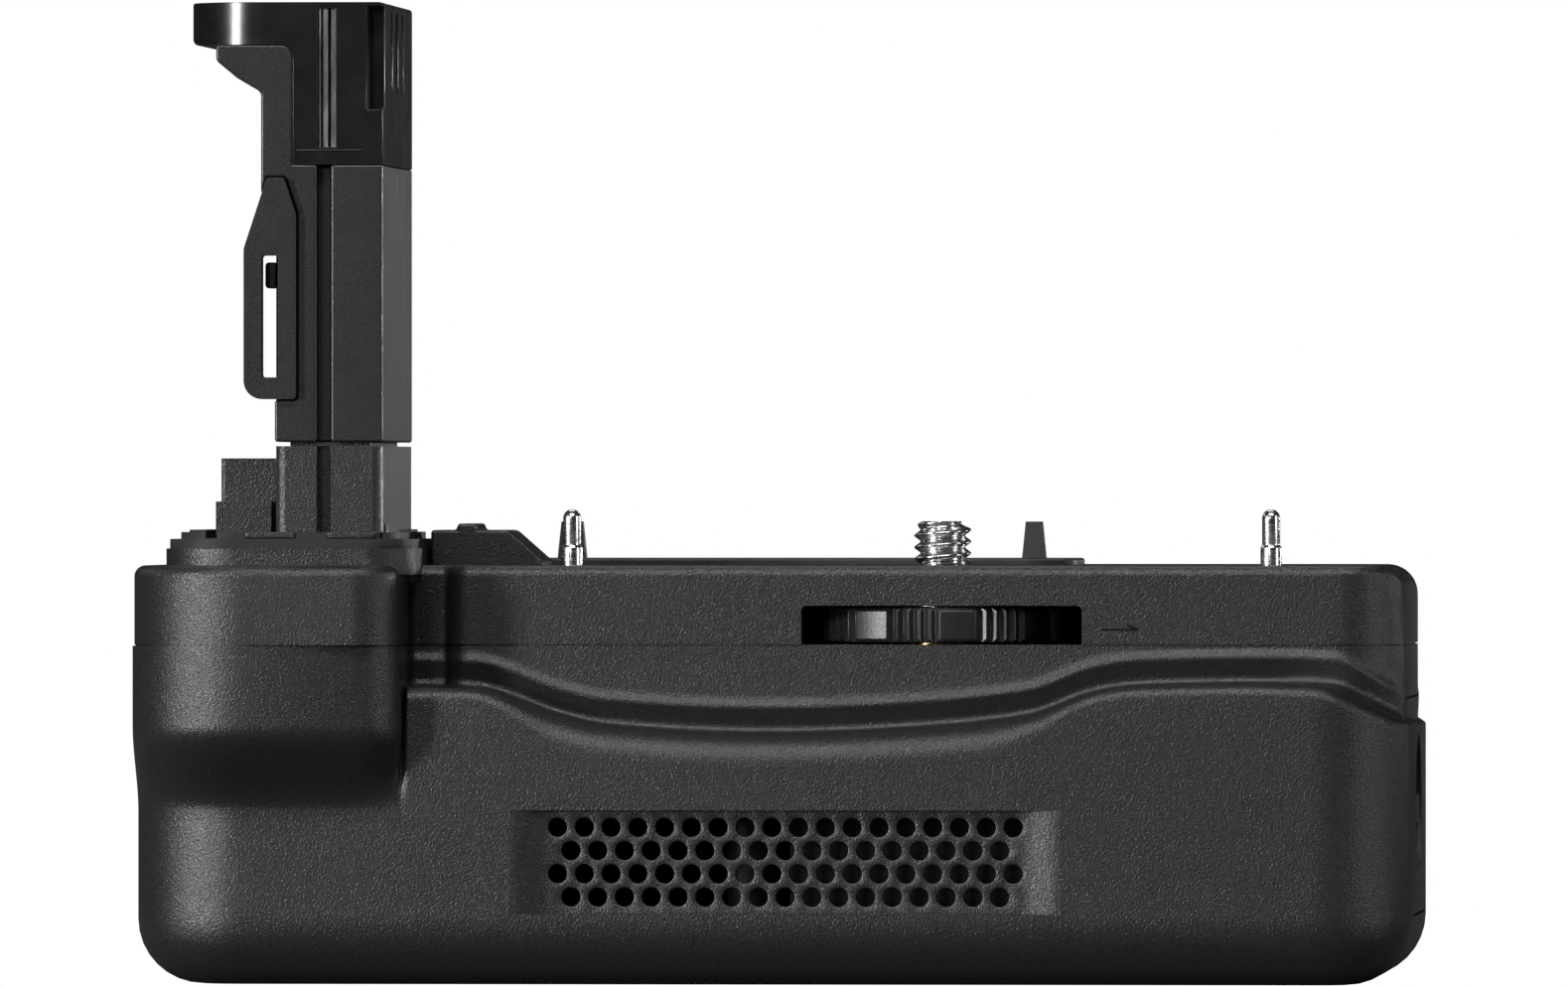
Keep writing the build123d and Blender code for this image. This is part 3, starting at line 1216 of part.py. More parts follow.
def fan_frame():
    """Square fan frame with its hub carried on four struts."""
    frame = rounded_block(
        FAN_LEFT_X, FAN_RIGHT_X, FAN_FRONT_Y, FAN_BACK_Y, FAN_BASE_Z, FAN_TOP_Z, 3.0
    )
    frame -= post(FAN_X, FAN_CENTRE_Y, FAN_BORE_RADIUS, FAN_BASE_Z - 1, FAN_TOP_Z + 1)
    for x, y in fan_screw_places():
        frame -= post(x, y, FAN_SCREW_RADIUS + 0.05, FAN_BASE_Z - 1, FAN_TOP_Z + 1)
    struts = post(0, 0, HUB_RADIUS - 0.5, FAN_BASE_Z, FAN_BASE_Z + 1.4)
    for index in range(4):
        strut = block(HUB_RADIUS - 1.5, FAN_BORE_RADIUS + 0.4, -1.1, 1.1, FAN_BASE_Z, FAN_BASE_Z + 1.4)
        struts += Rot(Z=22.5 + 90 * index) * strut
    struts += post(0, 0, 3.0, FAN_BASE_Z, FAN_TOP_Z - 2.4)
    frame += Pos(FAN_X, FAN_CENTRE_Y, 0) * struts
    return frame - post(FAN_X, FAN_CENTRE_Y, 2.2, FAN_BASE_Z + 0.8, FAN_TOP_Z)


def fan_screw_places():
    """Axes of the fan's four screws."""
    inset = FAN_SCREW_INSET
    return [
        (x, y)
        for x in (FAN_LEFT_X + inset, FAN_RIGHT_X - inset)
        for y in (FAN_FRONT_Y + inset, FAN_BACK_Y - inset)
    ]


def fan_screws():
    """Screws that hold the fan on its posts."""
    screws = []
    for x, y in fan_screw_places():
        head = post(x, y, FAN_SCREW_RADIUS + 0.9, FAN_TOP_Z, FAN_TOP_Z + 0.9)
        screws.append(head + post(x, y, FAN_SCREW_RADIUS, FAN_BASE_Z - 5.0, FAN_TOP_Z))
    return group(screws)


def fan_bearing():
    """Sleeve bearing in the fan's hub tube."""
    bore = FAN_SHAFT_RADIUS + RUNNING_CLEARANCE
    return tube(FAN_X, FAN_CENTRE_Y, 2.2, bore, FAN_BASE_Z + 0.8, FAN_TOP_Z - 2.4)


def fan_stator():
    """Coil body with four poles round the hub tube."""
    z0 = FAN_BASE_Z + 1.8
    z1 = FAN_TOP_Z - 3.4
    core = post(0, 0, 4.2, z0, z1)
    for index in range(4):
        arm = block(3.0, 5.6, -1.2, 1.2, z0, z1)
        shoe = tube(0, 0, 6.5, 5.4, z0, z1) & block(3, 8, -3.6, 3.6, z0, z1)
        core += Rot(Z=90 * index) * (arm + shoe)
    core -= post(0, 0, 3.0, z0 - 1, z1 + 1)
    return Pos(FAN_X, FAN_CENTRE_Y, 0) * core


def fan_rotor():
    """Hub cup with seven pitched blades."""
    z0 = FAN_BASE_Z + 2.0
    z1 = FAN_TOP_Z - 0.4
    tip = FAN_BORE_RADIUS - BLADE_TIP_GAP
    cup = post(0, 0, HUB_RADIUS, z0, z1) - post(0, 0, HUB_RADIUS - 0.9, z0 - 1, z1 - 0.9)
    ring = post(0, 0, tip, z0 + 0.3, z1 - 0.3) - post(0, 0, HUB_RADIUS - 0.4, z0, z1)
    for index in range(BLADE_COUNT):
        reach = tip - HUB_RADIUS + 3
        blade = Pos(HUB_RADIUS + reach / 2 - 1.5, 0, (z0 + z1) / 2) * Rot(X=38) * Box(reach, 9.5, 0.9)
        cup += Rot(Z=360 / BLADE_COUNT * index) * (blade & ring)
    cup -= post(0, 0, FAN_SHAFT_RADIUS, z0 - 1, z1 - 0.4)
    return Pos(FAN_X, FAN_CENTRE_Y, 0) * cup


def fan_shaft():
    """Steel shaft of the rotor."""
    return post(FAN_X, FAN_CENTRE_Y, FAN_SHAFT_RADIUS, FAN_BASE_Z + 1.2, FAN_TOP_Z - 0.8)


def fan_magnet():
    """Magnet ring inside the hub cup."""
    outer = HUB_RADIUS - 0.9
    return tube(FAN_X, FAN_CENTRE_Y, outer, outer - 1.0, FAN_BASE_Z + 2.2, FAN_TOP_Z - 1.6)


# Magazine


def magazine_tray():
    """Open tray that holds the battery."""
    top = MAGAZINE_BASE_Z + TRAY_HEIGHT
    tray = block(TRAY_LEFT_X, CAP_PLATE_X, TRAY_FRONT_Y, TRAY_BACK_Y, MAGAZINE_BASE_Z, top)
    tray = fillet(tray.edges().filter_by(Axis.X), TRAY_RADIUS)
    tray -= block(
        BATTERY_LEFT_X - BATTERY_CLEARANCE, CAP_PLATE_X - 0.3, TRAY_FRONT_Y + TRAY_WALL,
        TRAY_BACK_Y - TRAY_WALL, MAGAZINE_BASE_Z + TRAY_WALL, top + 1,
    )
    y0, y1, z0, z1 = contact_window()
    tray -= block(TRAY_LEFT_X - 1, BATTERY_LEFT_X, y0, y1, z0, z1)
    finger = BATTERY_LEFT_X + 12.0
    for y in (TRAY_FRONT_Y, TRAY_BACK_Y):
        tray -= block(finger, finger + 18.0, y - 2, y + 2, top - 6.0, top + 1)
    for y, z in magazine_screw_places():
        tray -= Pos(CAP_PLATE_X, y, z) * Rot(Y=90) * Cylinder(0.8, 3.0)
    return tray


def contact_window():
    """Y and Z limits of the window for the bay contacts."""
    middle = MAGAZINE_CENTRE_Y
    z = MAGAZINE_CENTRE_Z
    return middle - 9.0, middle + 9.0, z - 5.0, z + 20.0


def magazine_screw_places():
    """Y and Z of the screws between the end cap and the tray."""
    z = MAGAZINE_BASE_Z + 2.2
    return [(TRAY_FRONT_Y + 3.0, z + 3.0), (TRAY_BACK_Y - 3.0, z + 3.0)]


def magazine_end_cap():
    """End cap that closes the bay flush with the right end."""
    outer = side_prism(magazine_opening(-CAP_CLEARANCE), CAP_INNER_X, RIGHT_X + 1) & lower_form()
    inner = block(
        CAP_PLATE_X, CAP_INNER_X, TRAY_FRONT_Y + 0.6, TRAY_BACK_Y - 0.6,
        MAGAZINE_BASE_Z + 0.6, BATTERY_TOP_Z - 0.4,
    )
    cap = outer + (inner - along_x(TONGUE_REACH + 0.5, CAP_PLATE_X - 1, CAP_INNER_X))
    cap -= along_x(KNOB_RADIUS + 0.2, RIGHT_X - KNOB_RECESS, RIGHT_X + 1)
    cap -= along_x(KNOB_SHAFT_RADIUS + RUNNING_CLEARANCE, CAP_INNER_X - 1, RIGHT_X)
    groove_x = CAP_INNER_X + 0.9
    cap -= side_prism(magazine_opening(1), groove_x, groove_x + CAP_SEAL_GROOVE) - side_prism(
        magazine_opening(-CAP_CLEARANCE - CAP_SEAL_GROOVE), groove_x - 1, groove_x + 2
    )
    for y, z in magazine_screw_places():
        cap -= Pos(CAP_INNER_X, y, z) * Rot(Y=90) * Cylinder(0.8, 4.4)
    return cap


def along_x(radius, x0, x1):
    """A round form on the turn knob's axis."""
    middle = Pos((x0 + x1) / 2, MAGAZINE_CENTRE_Y, MAGAZINE_CENTRE_Z)
    return middle * Rot(Y=90) * Cylinder(radius, x1 - x0)


def magazine_seal():
    """Rubber ring round the end cap."""
    x0 = CAP_INNER_X + 0.9
    ring = side_prism(magazine_opening(-0.05), x0, x0 + CAP_SEAL_GROOVE)
    return ring - side_prism(magazine_opening(-CAP_CLEARANCE - CAP_SEAL_GROOVE), x0 - 1, x0 + 2)


def magazine_screws():
    """Screws between the end cap and the tray."""
    screws = []
    for y, z in magazine_screw_places():
        screws.append(Pos(CAP_INNER_X - 0.4, y, z) * Rot(Y=90) * Cylinder(0.78, 3.6))
    return group(screws)


def contact_places():
    """Y of each contact between the battery and the bay."""
    first = MAGAZINE_CENTRE_Y - CONTACT_PITCH * (CONTACT_COUNT - 1) / 2
    return [first + CONTACT_PITCH * index for index in range(CONTACT_COUNT)]


def battery_pack():
    """Rechargeable battery in the tray."""
    half = BATTERY_WIDTH / 2
    pack = block(
        BATTERY_LEFT_X, BATTERY_RIGHT_X, MAGAZINE_CENTRE_Y - half, MAGAZINE_CENTRE_Y + half,
        BATTERY_BASE_Z, BATTERY_TOP_Z,
    )
    pack = fillet(pack.edges().filter_by(Axis.X), 2.0)
    for y in contact_places():
        pack -= block(BATTERY_LEFT_X - 1, BATTERY_LEFT_X + 1.6, y - 0.9, y + 0.9,
                      MAGAZINE_CENTRE_Z - 3.0, MAGAZINE_CENTRE_Z + 3.0)
    return pack


def battery_terminals():
    """Contact plates sunk in the battery's end."""
    plates = []
    for y in contact_places():
        plates.append(block(BATTERY_LEFT_X + 1.3, BATTERY_LEFT_X + 1.6, y - 0.9, y + 0.9,
                            MAGAZINE_CENTRE_Z - 3.0, MAGAZINE_CENTRE_Z + 3.0))
    return group(plates)


def bay_contact_block():
    """Contact block on the end wall of the bay."""
    y = MAGAZINE_CENTRE_Y
    z = MAGAZINE_CENTRE_Z
    body = block(BAY_WALL_X, TRAY_LEFT_X - 0.4, y - 8.6, y + 8.6, z - 4.5, z + 4.5)
    body = fillet(body.edges().filter_by(Axis.X), 1.0)
    for y in contact_places():
        body -= block(TRAY_LEFT_X - 1.4, TRAY_LEFT_X, y - 0.7, y + 0.7, z - 3.2, z + 3.2)
    return body


def bay_contacts():
    """Contact blades that reach into the battery's end."""
    blades = []
    z = MAGAZINE_CENTRE_Z
    for y in contact_places():
        blades.append(block(TRAY_LEFT_X - 1.4, BATTERY_LEFT_X + 1.0, y - 0.4, y + 0.4, z - 2.2, z + 2.2))
    return group(blades)


def turn_knob():
    """Turn knob sunk in the end cap, with a finger bar across it."""
    disc_x = RIGHT_X - KNOB_RECESS
    disc = along_x(KNOB_RADIUS, disc_x + 0.05, disc_x + 1.0)
    y = MAGAZINE_CENTRE_Y
    z = MAGAZINE_CENTRE_Z
    reach = KNOB_RADIUS - 1.2
    bar = block(disc_x + 1.0, RIGHT_X - 0.15, y - reach, y + reach, z - 1.5, z + 1.5)
    bar = fillet(bar.edges().filter_by(Axis.X), 1.0)
    return disc + bar + along_x(KNOB_SHAFT_RADIUS, CAP_INNER_X - 0.1, disc_x + 0.1)


def knob_tongue():
    """Tongue on the knob's shaft that locks the magazine when it points up."""
    x0 = CAP_INNER_X - 0.1
    tongue = block(
        x0 - 1.3, x0, MAGAZINE_CENTRE_Y - TONGUE_REACH + 1, MAGAZINE_CENTRE_Y + 3.6,
        MAGAZINE_CENTRE_Z - TONGUE_WIDTH / 2, MAGAZINE_CENTRE_Z + TONGUE_WIDTH / 2,
    )
    return tongue & along_x(TONGUE_REACH, x0 - 2, x0 + 1)


def housing_screws():
    """Long screws that hold the two housings together."""
    screws = []
    for x, y in HOUSING_SCREWS:
        head = post(x, y, HOUSING_SCREW_HEAD_RADIUS, SCREW_SEAT_Z - 1.3, SCREW_SEAT_Z)
        head -= block(x - 1.1, x + 1.1, y - 0.25, y + 0.25, SCREW_SEAT_Z - 2, SCREW_SEAT_Z - 0.7)
        head -= block(x - 0.25, x + 0.25, y - 1.1, y + 1.1, SCREW_SEAT_Z - 2, SCREW_SEAT_Z - 0.7)
        screws.append(head + post(x, y, HOUSING_SCREW_RADIUS - 0.02, SCREW_SEAT_Z, CEILING_Z - 1.8))
    return group(screws)


PARTS = {
    "lower_housing": lower_housing,
    "bay_frame": bay_frame,
    "fan_standoffs": fan_standoffs,
    "upper_housing": upper_housing,
    "outlet_frame": outlet_frame,
    "outlet_seal": outlet_seal,
    "air_duct": air_duct,
    "recess_key": recess_key,
    "locating_pins": locating_pins,
    "chassis_plate": chassis_plate,
    "wheel_bush": wheel_bush,
    "lock_wheel": lock_wheel,
    "camera_screw": camera_screw,
    "wheel_clip": wheel_clip,
    "tripod_socket": tripod_socket,
    "column_gasket": gasket_rings,
    "column_block": column_block,
    "side_block": side_block,
    "column_stem": column_stem,
    "door_holder": door_holder,
    "holder_peg": holder_peg,
    "column_cap": column_cap,
    "cap_terminals": cap_terminals,
    "column_screws": column_screws,
    "circuit_board": circuit_board,
    "board_components": board_components,
    "column_flex": column_flex,
    "fan_flex": fan_flex,
    "fan_frame": fan_frame,
    "fan_screws": fan_screws,
    "fan_bearing": fan_bearing,
    "fan_stator": fan_stator,
    "fan_rotor": fan_rotor,
    "fan_shaft": fan_shaft,
    "fan_magnet": fan_magnet,
    "magazine_tray": magazine_tray,
    "magazine_end_cap": magazine_end_cap,
    "magazine_seal": magazine_seal,
    "magazine_screws": magazine_screws,
    "battery_pack": battery_pack,
    "battery_terminals": battery_terminals,
    "bay_contact_block": bay_contact_block,
    "bay_contacts": bay_contacts,
    "turn_knob": turn_knob,
    "knob_tongue": knob_tongue,
    "housing_screws": housing_screws,
}

os.makedirs("parts", exist_ok=True)
for name, make in PARTS.items():
    export_step(make(), f"parts/{name}.step")
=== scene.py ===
import json
import math

import bmesh
import bpy
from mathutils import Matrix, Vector
from mathutils.geometry import delaunay_2d_cdt

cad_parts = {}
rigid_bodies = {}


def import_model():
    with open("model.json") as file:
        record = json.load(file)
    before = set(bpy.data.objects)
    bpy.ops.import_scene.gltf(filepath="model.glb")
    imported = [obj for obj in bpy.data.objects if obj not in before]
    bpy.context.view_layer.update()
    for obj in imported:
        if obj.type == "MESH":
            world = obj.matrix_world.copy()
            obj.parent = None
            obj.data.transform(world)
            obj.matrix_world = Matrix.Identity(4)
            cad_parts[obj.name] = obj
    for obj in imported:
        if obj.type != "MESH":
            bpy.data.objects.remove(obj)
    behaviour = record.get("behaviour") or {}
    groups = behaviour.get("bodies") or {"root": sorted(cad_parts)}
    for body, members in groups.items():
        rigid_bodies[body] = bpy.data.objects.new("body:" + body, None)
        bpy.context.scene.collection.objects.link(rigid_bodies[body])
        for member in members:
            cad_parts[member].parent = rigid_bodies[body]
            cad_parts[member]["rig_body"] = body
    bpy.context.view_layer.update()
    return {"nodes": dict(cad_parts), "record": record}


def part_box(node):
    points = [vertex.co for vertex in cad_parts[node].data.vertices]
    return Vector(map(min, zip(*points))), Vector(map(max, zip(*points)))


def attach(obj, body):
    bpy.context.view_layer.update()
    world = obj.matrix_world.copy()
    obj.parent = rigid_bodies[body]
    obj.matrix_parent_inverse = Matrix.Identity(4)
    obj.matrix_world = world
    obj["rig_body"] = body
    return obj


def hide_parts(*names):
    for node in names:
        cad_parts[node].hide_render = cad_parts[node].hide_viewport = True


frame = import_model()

# Battery grip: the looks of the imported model. Sizes are in millimetres and become metres in the meshes.

MM = 0.001


def corners_of(node):
    """Lowest and highest corner of a CAD node in millimetres."""
    low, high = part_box(node)
    return [value / MM for value in low], [value / MM for value in high]


# Sizes read from the frame
LOWER_LOW, LOWER_HIGH = corners_of("lower_housing")
LEFT_X = LOWER_LOW[0]
RIGHT_X = LOWER_HIGH[0]
GRIP_FRONT_Y = LOWER_LOW[1]
BACK_Y = LOWER_HIGH[1]
PARTING_Z = LOWER_HIGH[2]
WHEEL_TOP_Z = corners_of("lock_wheel")[1][2]
SCREW_LOW, SCREW_HIGH = corners_of("camera_screw")
SCREW_X = (SCREW_LOW[0] + SCREW_HIGH[0]) / 2
SCREW_Y = (SCREW_LOW[1] + SCREW_HIGH[1]) / 2
TRAY_LOW, TRAY_HIGH = corners_of("magazine_tray")
KNOB_LOW, KNOB_HIGH = corners_of("turn_knob")
KNOB_Y = (KNOB_LOW[1] + KNOB_HIGH[1]) / 2
KNOB_Z = (KNOB_LOW[2] + KNOB_HIGH[2]) / 2

# Body form
UPPER_HEIGHT = 8.55
TOP_Z = PARTING_Z + UPPER_HEIGHT
GRIP_BULGE = 7.0
FRONT_Y = GRIP_FRONT_Y + GRIP_BULGE
UPPER_FRONT_Y = FRONT_Y + 6.0
UPPER_BACK_Y = BACK_Y - 4.0
UPPER_RIGHT_X = RIGHT_X - 0.8
VALLEY_FLOOR_Y = UPPER_FRONT_Y + 3.4
BULGE_RIGHT_X = LEFT_X + 29.6
MAIN_LEFT_X = BULGE_RIGHT_X + 4.4
UPPER_WIDENS_X = 30.0
BASE_FILLET = 7.0
BASE_FILLET_STEPS = 8
BULGE_GROWS_Z = (18.6, 28.0)
BULGE_DOME = 1.2
BULGE_CORNER_TURN = 78
PARTING_GROOVE = 0.3
PARTING_GAP = 0.15
WALL_TOP_Z = PARTING_Z - PARTING_GAP
SHELL_WALL = 2.0

# Corner radii, first of the outline at the base, then of the outline at the parting line from left to right
BASE_CORNER = 10.0
GRIP_BASE_CORNER = 12.0
GRIP_CORNER = 12.5
BULGE_CORNER = 5.0
VALLEY_LEFT_CORNER = 1.2
VALLEY_RIGHT_CORNER = 0.8
MAIN_CORNER = 2.4
UPPER_FRONT_CORNER = 7.0
UPPER_BACK_CORNER = 8.0

# Edge of the finger form: X and drop below the parting line
CREASE = (
    (-32.4, 2.0),
    (-23.1, 4.85),
    (-18.3, 6.0),
    (-3.2, 6.9),
    (12.9, 6.5),
    (27.9, 5.0),
    (34.5, 2.65),
    (40.2, 1.8),
    (60.9, 1.8),
    (64.1, 3.3),
    (70.0, 6.5),
)
CREASE_END_SLOPE = 0.45

# Shoulder and hollow below that edge, and the lip above it
SHOULDER_DROP = 2.6
SHOULDER_RADIUS = 1.4
SHOULDER_FRONT_GAIN = 4.4
SHOULDER_BACK_GAIN = 3.0
SHOULDER_WIDENS_X = (-34.0, -12.0)
SHOULDER_NARROWS_X = (8.0, 36.0)
SHOULDER_WIDENS_Y = (0.0, 25.0)
HOLLOW_LEFT = 0.6
HOLLOW_MIDDLE = 1.0
HOLLOW_RIGHT = 0.4
HOLLOW_LEAD = 4.0
HOLLOW_FADES_X = (55.0, 60.0)
HOLLOW_RADIUS = 1.2
LIP_FLARE = 0.4
LIP_FLARE_FULL_DEPTH = 3.0
LIP_HEIGHT = 0.35
LIP_RADIUS = 0.16
FLARE_START_RADIUS = 0.17
FLARE_END_RADIUS = 0.4
FLARE_TOP = 1.15

# Air intake
GRILLE_LEFT_X = -27.8
GRILLE_RIGHT_X = 31.6
GRILLE_LOW_Z = 7.7
GRILLE_HIGH_Z = 18.9
GRILLE_DEPTH = 0.8
GRILLE_RAMP = 4.4
GRILLE_COLUMNS = 54
GRILLE_LINES = 8
HOLE_RADIUS = 1.025
HOLE_CHAMFER = 0.14
HOLE_RIM_RADIUS = HOLE_RADIUS + HOLE_CHAMFER
HOLE_SIDES = 24
HOLE_PITCH = 2.89
HOLE_ROW_PITCH = 2.5
HOLE_ROWS = 4
HOLES_IN_LONG_ROW = 18

# Magazine bay in the right end
BAY_CLEARANCE = 0.35
BAY_TOP_Z = 31.05
BAY_CORNER = 3.0
CAP_CLEARANCE = 0.12
CAP_TOP_Z = 30.82
CAP_CORNER = 2.8
CAP_THICKNESS = 3.0
KNOB_RECESS_RADIUS = 8.2
KNOB_RECESS_SIDES = 48
KNOB_FLOOR_X = RIGHT_X - 2.0
END_PATCH_X = 0.9 * RIGHT_X

# Measures below which two values or two stations count as one, and a wall as upright
CLOSE = 1e-6
SAME_STATION = 0.02
UPRIGHT_DEPTH = 0.2

# Most of a profile's side that the rounding of one corner may take, as a share
ROUNDING_SHARE = 0.48


# Materials; noise scales are per metre

BROAD_GRAIN = 260.0
TOOL_LINES = 900.0
METAL_SHADE = 0.82


def new_material(name):
    """An empty node material with its shader."""
    material = bpy.data.materials.new(name)
    material.use_nodes = True
    shader = material.node_tree.nodes["Principled BSDF"]
    return material, material.node_tree, shader


def noise_node(tree, scale, detail=2.0, roughness=0.5):
    """A noise pattern in the object's own metres."""
    place = tree.nodes.new("ShaderNodeTexCoord")
    pattern = tree.nodes.new("ShaderNodeTexNoise")
    pattern.inputs["Scale"].default_value = scale
    pattern.inputs["Detail"].default_value = detail
    pattern.inputs["Roughness"].default_value = roughness
    tree.links.new(place.outputs["Object"], pattern.inputs["Vector"])
    return pattern


def spread(tree, pattern, low, high, start=0.35, end=0.65):
    """A pattern's middle range stretched to run from low to high."""
    node = tree.nodes.new("ShaderNodeMapRange")
    node.inputs["From Min"].default_value = start
    node.inputs["From Max"].default_value = end
    node.inputs["To Min"].default_value = low
    node.inputs["To Max"].default_value = high
    tree.links.new(pattern.outputs["Fac"], node.inputs["Value"])
    return node


def mixed_colour(tree, pattern, dark, light, start=0.35, end=0.65):
    """A colour that runs between two values with a pattern."""
    ramp = tree.nodes.new("ShaderNodeValToRGB")
    ramp.color_ramp.elements[0].position = start
    ramp.color_ramp.elements[0].color = (*dark, 1)
    ramp.color_ramp.elements[1].position = end
    ramp.color_ramp.elements[1].color = (*light, 1)
    tree.links.new(pattern.outputs["Fac"], ramp.inputs["Fac"])
    return ramp


def add_bump(tree, shader, pattern, strength, distance):
    """Relief from a pattern, in metres of height."""
    bump = tree.nodes.new("ShaderNodeBump")
    bump.inputs["Strength"].default_value = strength
    bump.inputs["Distance"].default_value = distance
    tree.links.new(pattern.outputs["Fac"], bump.inputs["Height"])
    tree.links.new(bump.outputs["Normal"], shader.inputs["Normal"])


def plastic(name, dark, light, rough_low, rough_high, grain, relief, specular=0.5):
    """Moulded plastic with an eroded grain."""
    material, tree, shader = new_material(name)
    fine = noise_node(tree, grain, roughness=0.6)
    broad = noise_node(tree, BROAD_GRAIN, detail=3.0)
    colour = mixed_colour(tree, fine, dark, light, start=0.3, end=0.7)
    rough = spread(tree, broad, rough_low, rough_high)
    tree.links.new(colour.outputs["Color"], shader.inputs["Base Color"])
    tree.links.new(rough.outputs["Result"], shader.inputs["Roughness"])
    shader.inputs["Specular IOR Level"].default_value = specular
    add_bump(tree, shader, fine, strength=0.9, distance=relief)
    return material


def metal(name, colour, rough_low, rough_high, stretch=(1, 1, 12), relief=0.00001):
    """Turned or drawn metal with fine tool lines across one direction."""
    material, tree, shader = new_material(name)
    place = tree.nodes.new("ShaderNodeTexCoord")
    mapping = tree.nodes.new("ShaderNodeMapping")
    mapping.inputs["Scale"].default_value = stretch
    tree.links.new(place.outputs["Object"], mapping.inputs["Vector"])
    lines = tree.nodes.new("ShaderNodeTexNoise")
    lines.inputs["Scale"].default_value = TOOL_LINES
    lines.inputs["Detail"].default_value = 3.0
    tree.links.new(mapping.outputs["Vector"], lines.inputs["Vector"])
    rough = spread(tree, lines, rough_low, rough_high)
    tint = mixed_colour(tree, lines, tuple(METAL_SHADE * c for c in colour), colour)
    tree.links.new(rough.outputs["Result"], shader.inputs["Roughness"])
    tree.links.new(tint.outputs["Color"], shader.inputs["Base Color"])
    shader.inputs["Metallic"].default_value = 1.0
    add_bump(tree, shader, lines, strength=0.5, distance=relief)
    return material


TEXTURED = plastic(
    "textured_plastic", (0.006, 0.006, 0.0065), (0.017, 0.017, 0.018), 0.315, 0.335, 4600.0, 0.00011,
)
SATIN = plastic(
    "smooth_plastic", (0.008, 0.008, 0.0085), (0.013, 0.013, 0.0135), 0.34, 0.38, 3600.0, 0.000025,
)
GLOSS = plastic("gloss_plastic", (0.004, 0.004, 0.0045), (0.007, 0.007, 0.0075), 0.2, 0.24, 1500.0, 0.000002)
DARK = plastic("dark_plastic", (0.005, 0.005, 0.0055), (0.01, 0.01, 0.0105), 0.5, 0.6, 3200.0, 0.00003)
FAN_BLACK = plastic("fan_plastic", (0.01, 0.01, 0.011), (0.018, 0.018, 0.02), 0.4, 0.5, 2500.0, 0.00001)
RUBBER = plastic(
    "black_rubber", (0.008, 0.008, 0.0085), (0.014, 0.014, 0.0145), 0.6, 0.75, 3000.0, 0.00003, 0.35,
)
FOAM = plastic("grey_foam", (0.03, 0.03, 0.032), (0.09, 0.09, 0.095), 0.85, 0.95, 1800.0, 0.0002, 0.2)
COMPONENT = plastic("component_black", (0.008, 0.008, 0.009), (0.02, 0.02, 0.022), 0.45, 0.6, 2600.0, 0.00001)
BATTERY = plastic("battery_grey", (0.035, 0.036, 0.038), (0.055, 0.056, 0.06), 0.4, 0.5, 3000.0, 0.00002)
BOARD = plastic("board_green", (0.008, 0.05, 0.022), (0.014, 0.085, 0.035), 0.3, 0.42, 700.0, 0.00001)
FLEX = plastic("flex_amber", (0.32, 0.13, 0.02), (0.42, 0.19, 0.035), 0.25, 0.38, 900.0, 0.000005)
STEEL = metal("bright_steel", (0.72, 0.71, 0.70), 0.16, 0.30)
SHEET = metal("sheet_steel", (0.55, 0.55, 0.56), 0.28, 0.42, (12, 1, 1))
BRASS = metal("brass", (0.75, 0.53, 0.24), 0.2, 0.34)
CONTACT = metal("contact_metal", (0.66, 0.65, 0.62), 0.2, 0.3, (1, 1, 0.2), 0.000001)
COPPER = metal("copper_coil", (0.72, 0.33, 0.17), 0.25, 0.4, (1, 1, 30), 0.00008)
MAGNET = metal("magnet_grey", (0.20, 0.20, 0.21), 0.5, 0.65)

SLOT_MATERIALS = {
    "textured_plastic": TEXTURED,
    "smooth_plastic": SATIN,
    "gloss_plastic": GLOSS,
    "dark_plastic": DARK,
    "fan_plastic": FAN_BLACK,
    "black_rubber": RUBBER,
    "grey_foam": FOAM,
    "bright_steel": STEEL,
    "sheet_steel": SHEET,
    "brass": BRASS,
    "contact_metal": CONTACT,
    "board_green": BOARD,
    "component_black": COMPONENT,
    "flex_amber": FLEX,
    "copper_coil": COPPER,
    "magnet_grey": MAGNET,
    "battery_grey": BATTERY,
}
SLOT_OF = {subpart["node"]: subpart["material_slot"] for subpart in frame["record"]["subparts"]}

for name, slot in SLOT_OF.items():
    node = frame["nodes"][name]
    node.data.materials.clear()
    node.data.materials.append(SLOT_MATERIALS[slot])


# Mesh helpers


def add_piece(name, points, faces, material, body):
    """A new smooth piece from points in millimetres, riding on a body."""
    mesh = bpy.data.meshes.new(name)
    mesh.from_pydata([tuple(value * MM for value in point) for point in points], [], faces)
    mesh.materials.append(material)
    mesh.polygons.foreach_set("use_smooth", [True] * len(mesh.polygons))
    piece = bpy.data.objects.new(name, mesh)
    bpy.context.collection.objects.link(piece)
    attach(piece, body)
    return piece


def apply_modifiers(piece):
    """Keeps the result of a piece's modifiers as its mesh."""
    depsgraph = bpy.context.evaluated_depsgraph_get()
    result = bpy.data.meshes.new_from_object(piece.evaluated_get(depsgraph))
    piece.modifiers.clear()
    old = piece.data
    piece.data = result
    bpy.data.meshes.remove(old)


def smooth_by_angle(piece, degrees):
    """Smooth faces with sharp edges where they turn by more than an angle."""
    bm = bmesh.new()
    bm.from_mesh(piece.data)
    limit = math.radians(degrees)
    for face in bm.faces:
        face.smooth = True
    for edge in bm.edges:
        edge.smooth = len(edge.link_faces) == 2 and edge.calc_face_angle(0.0) < limit
    bm.to_mesh(piece.data)
    bm.free()


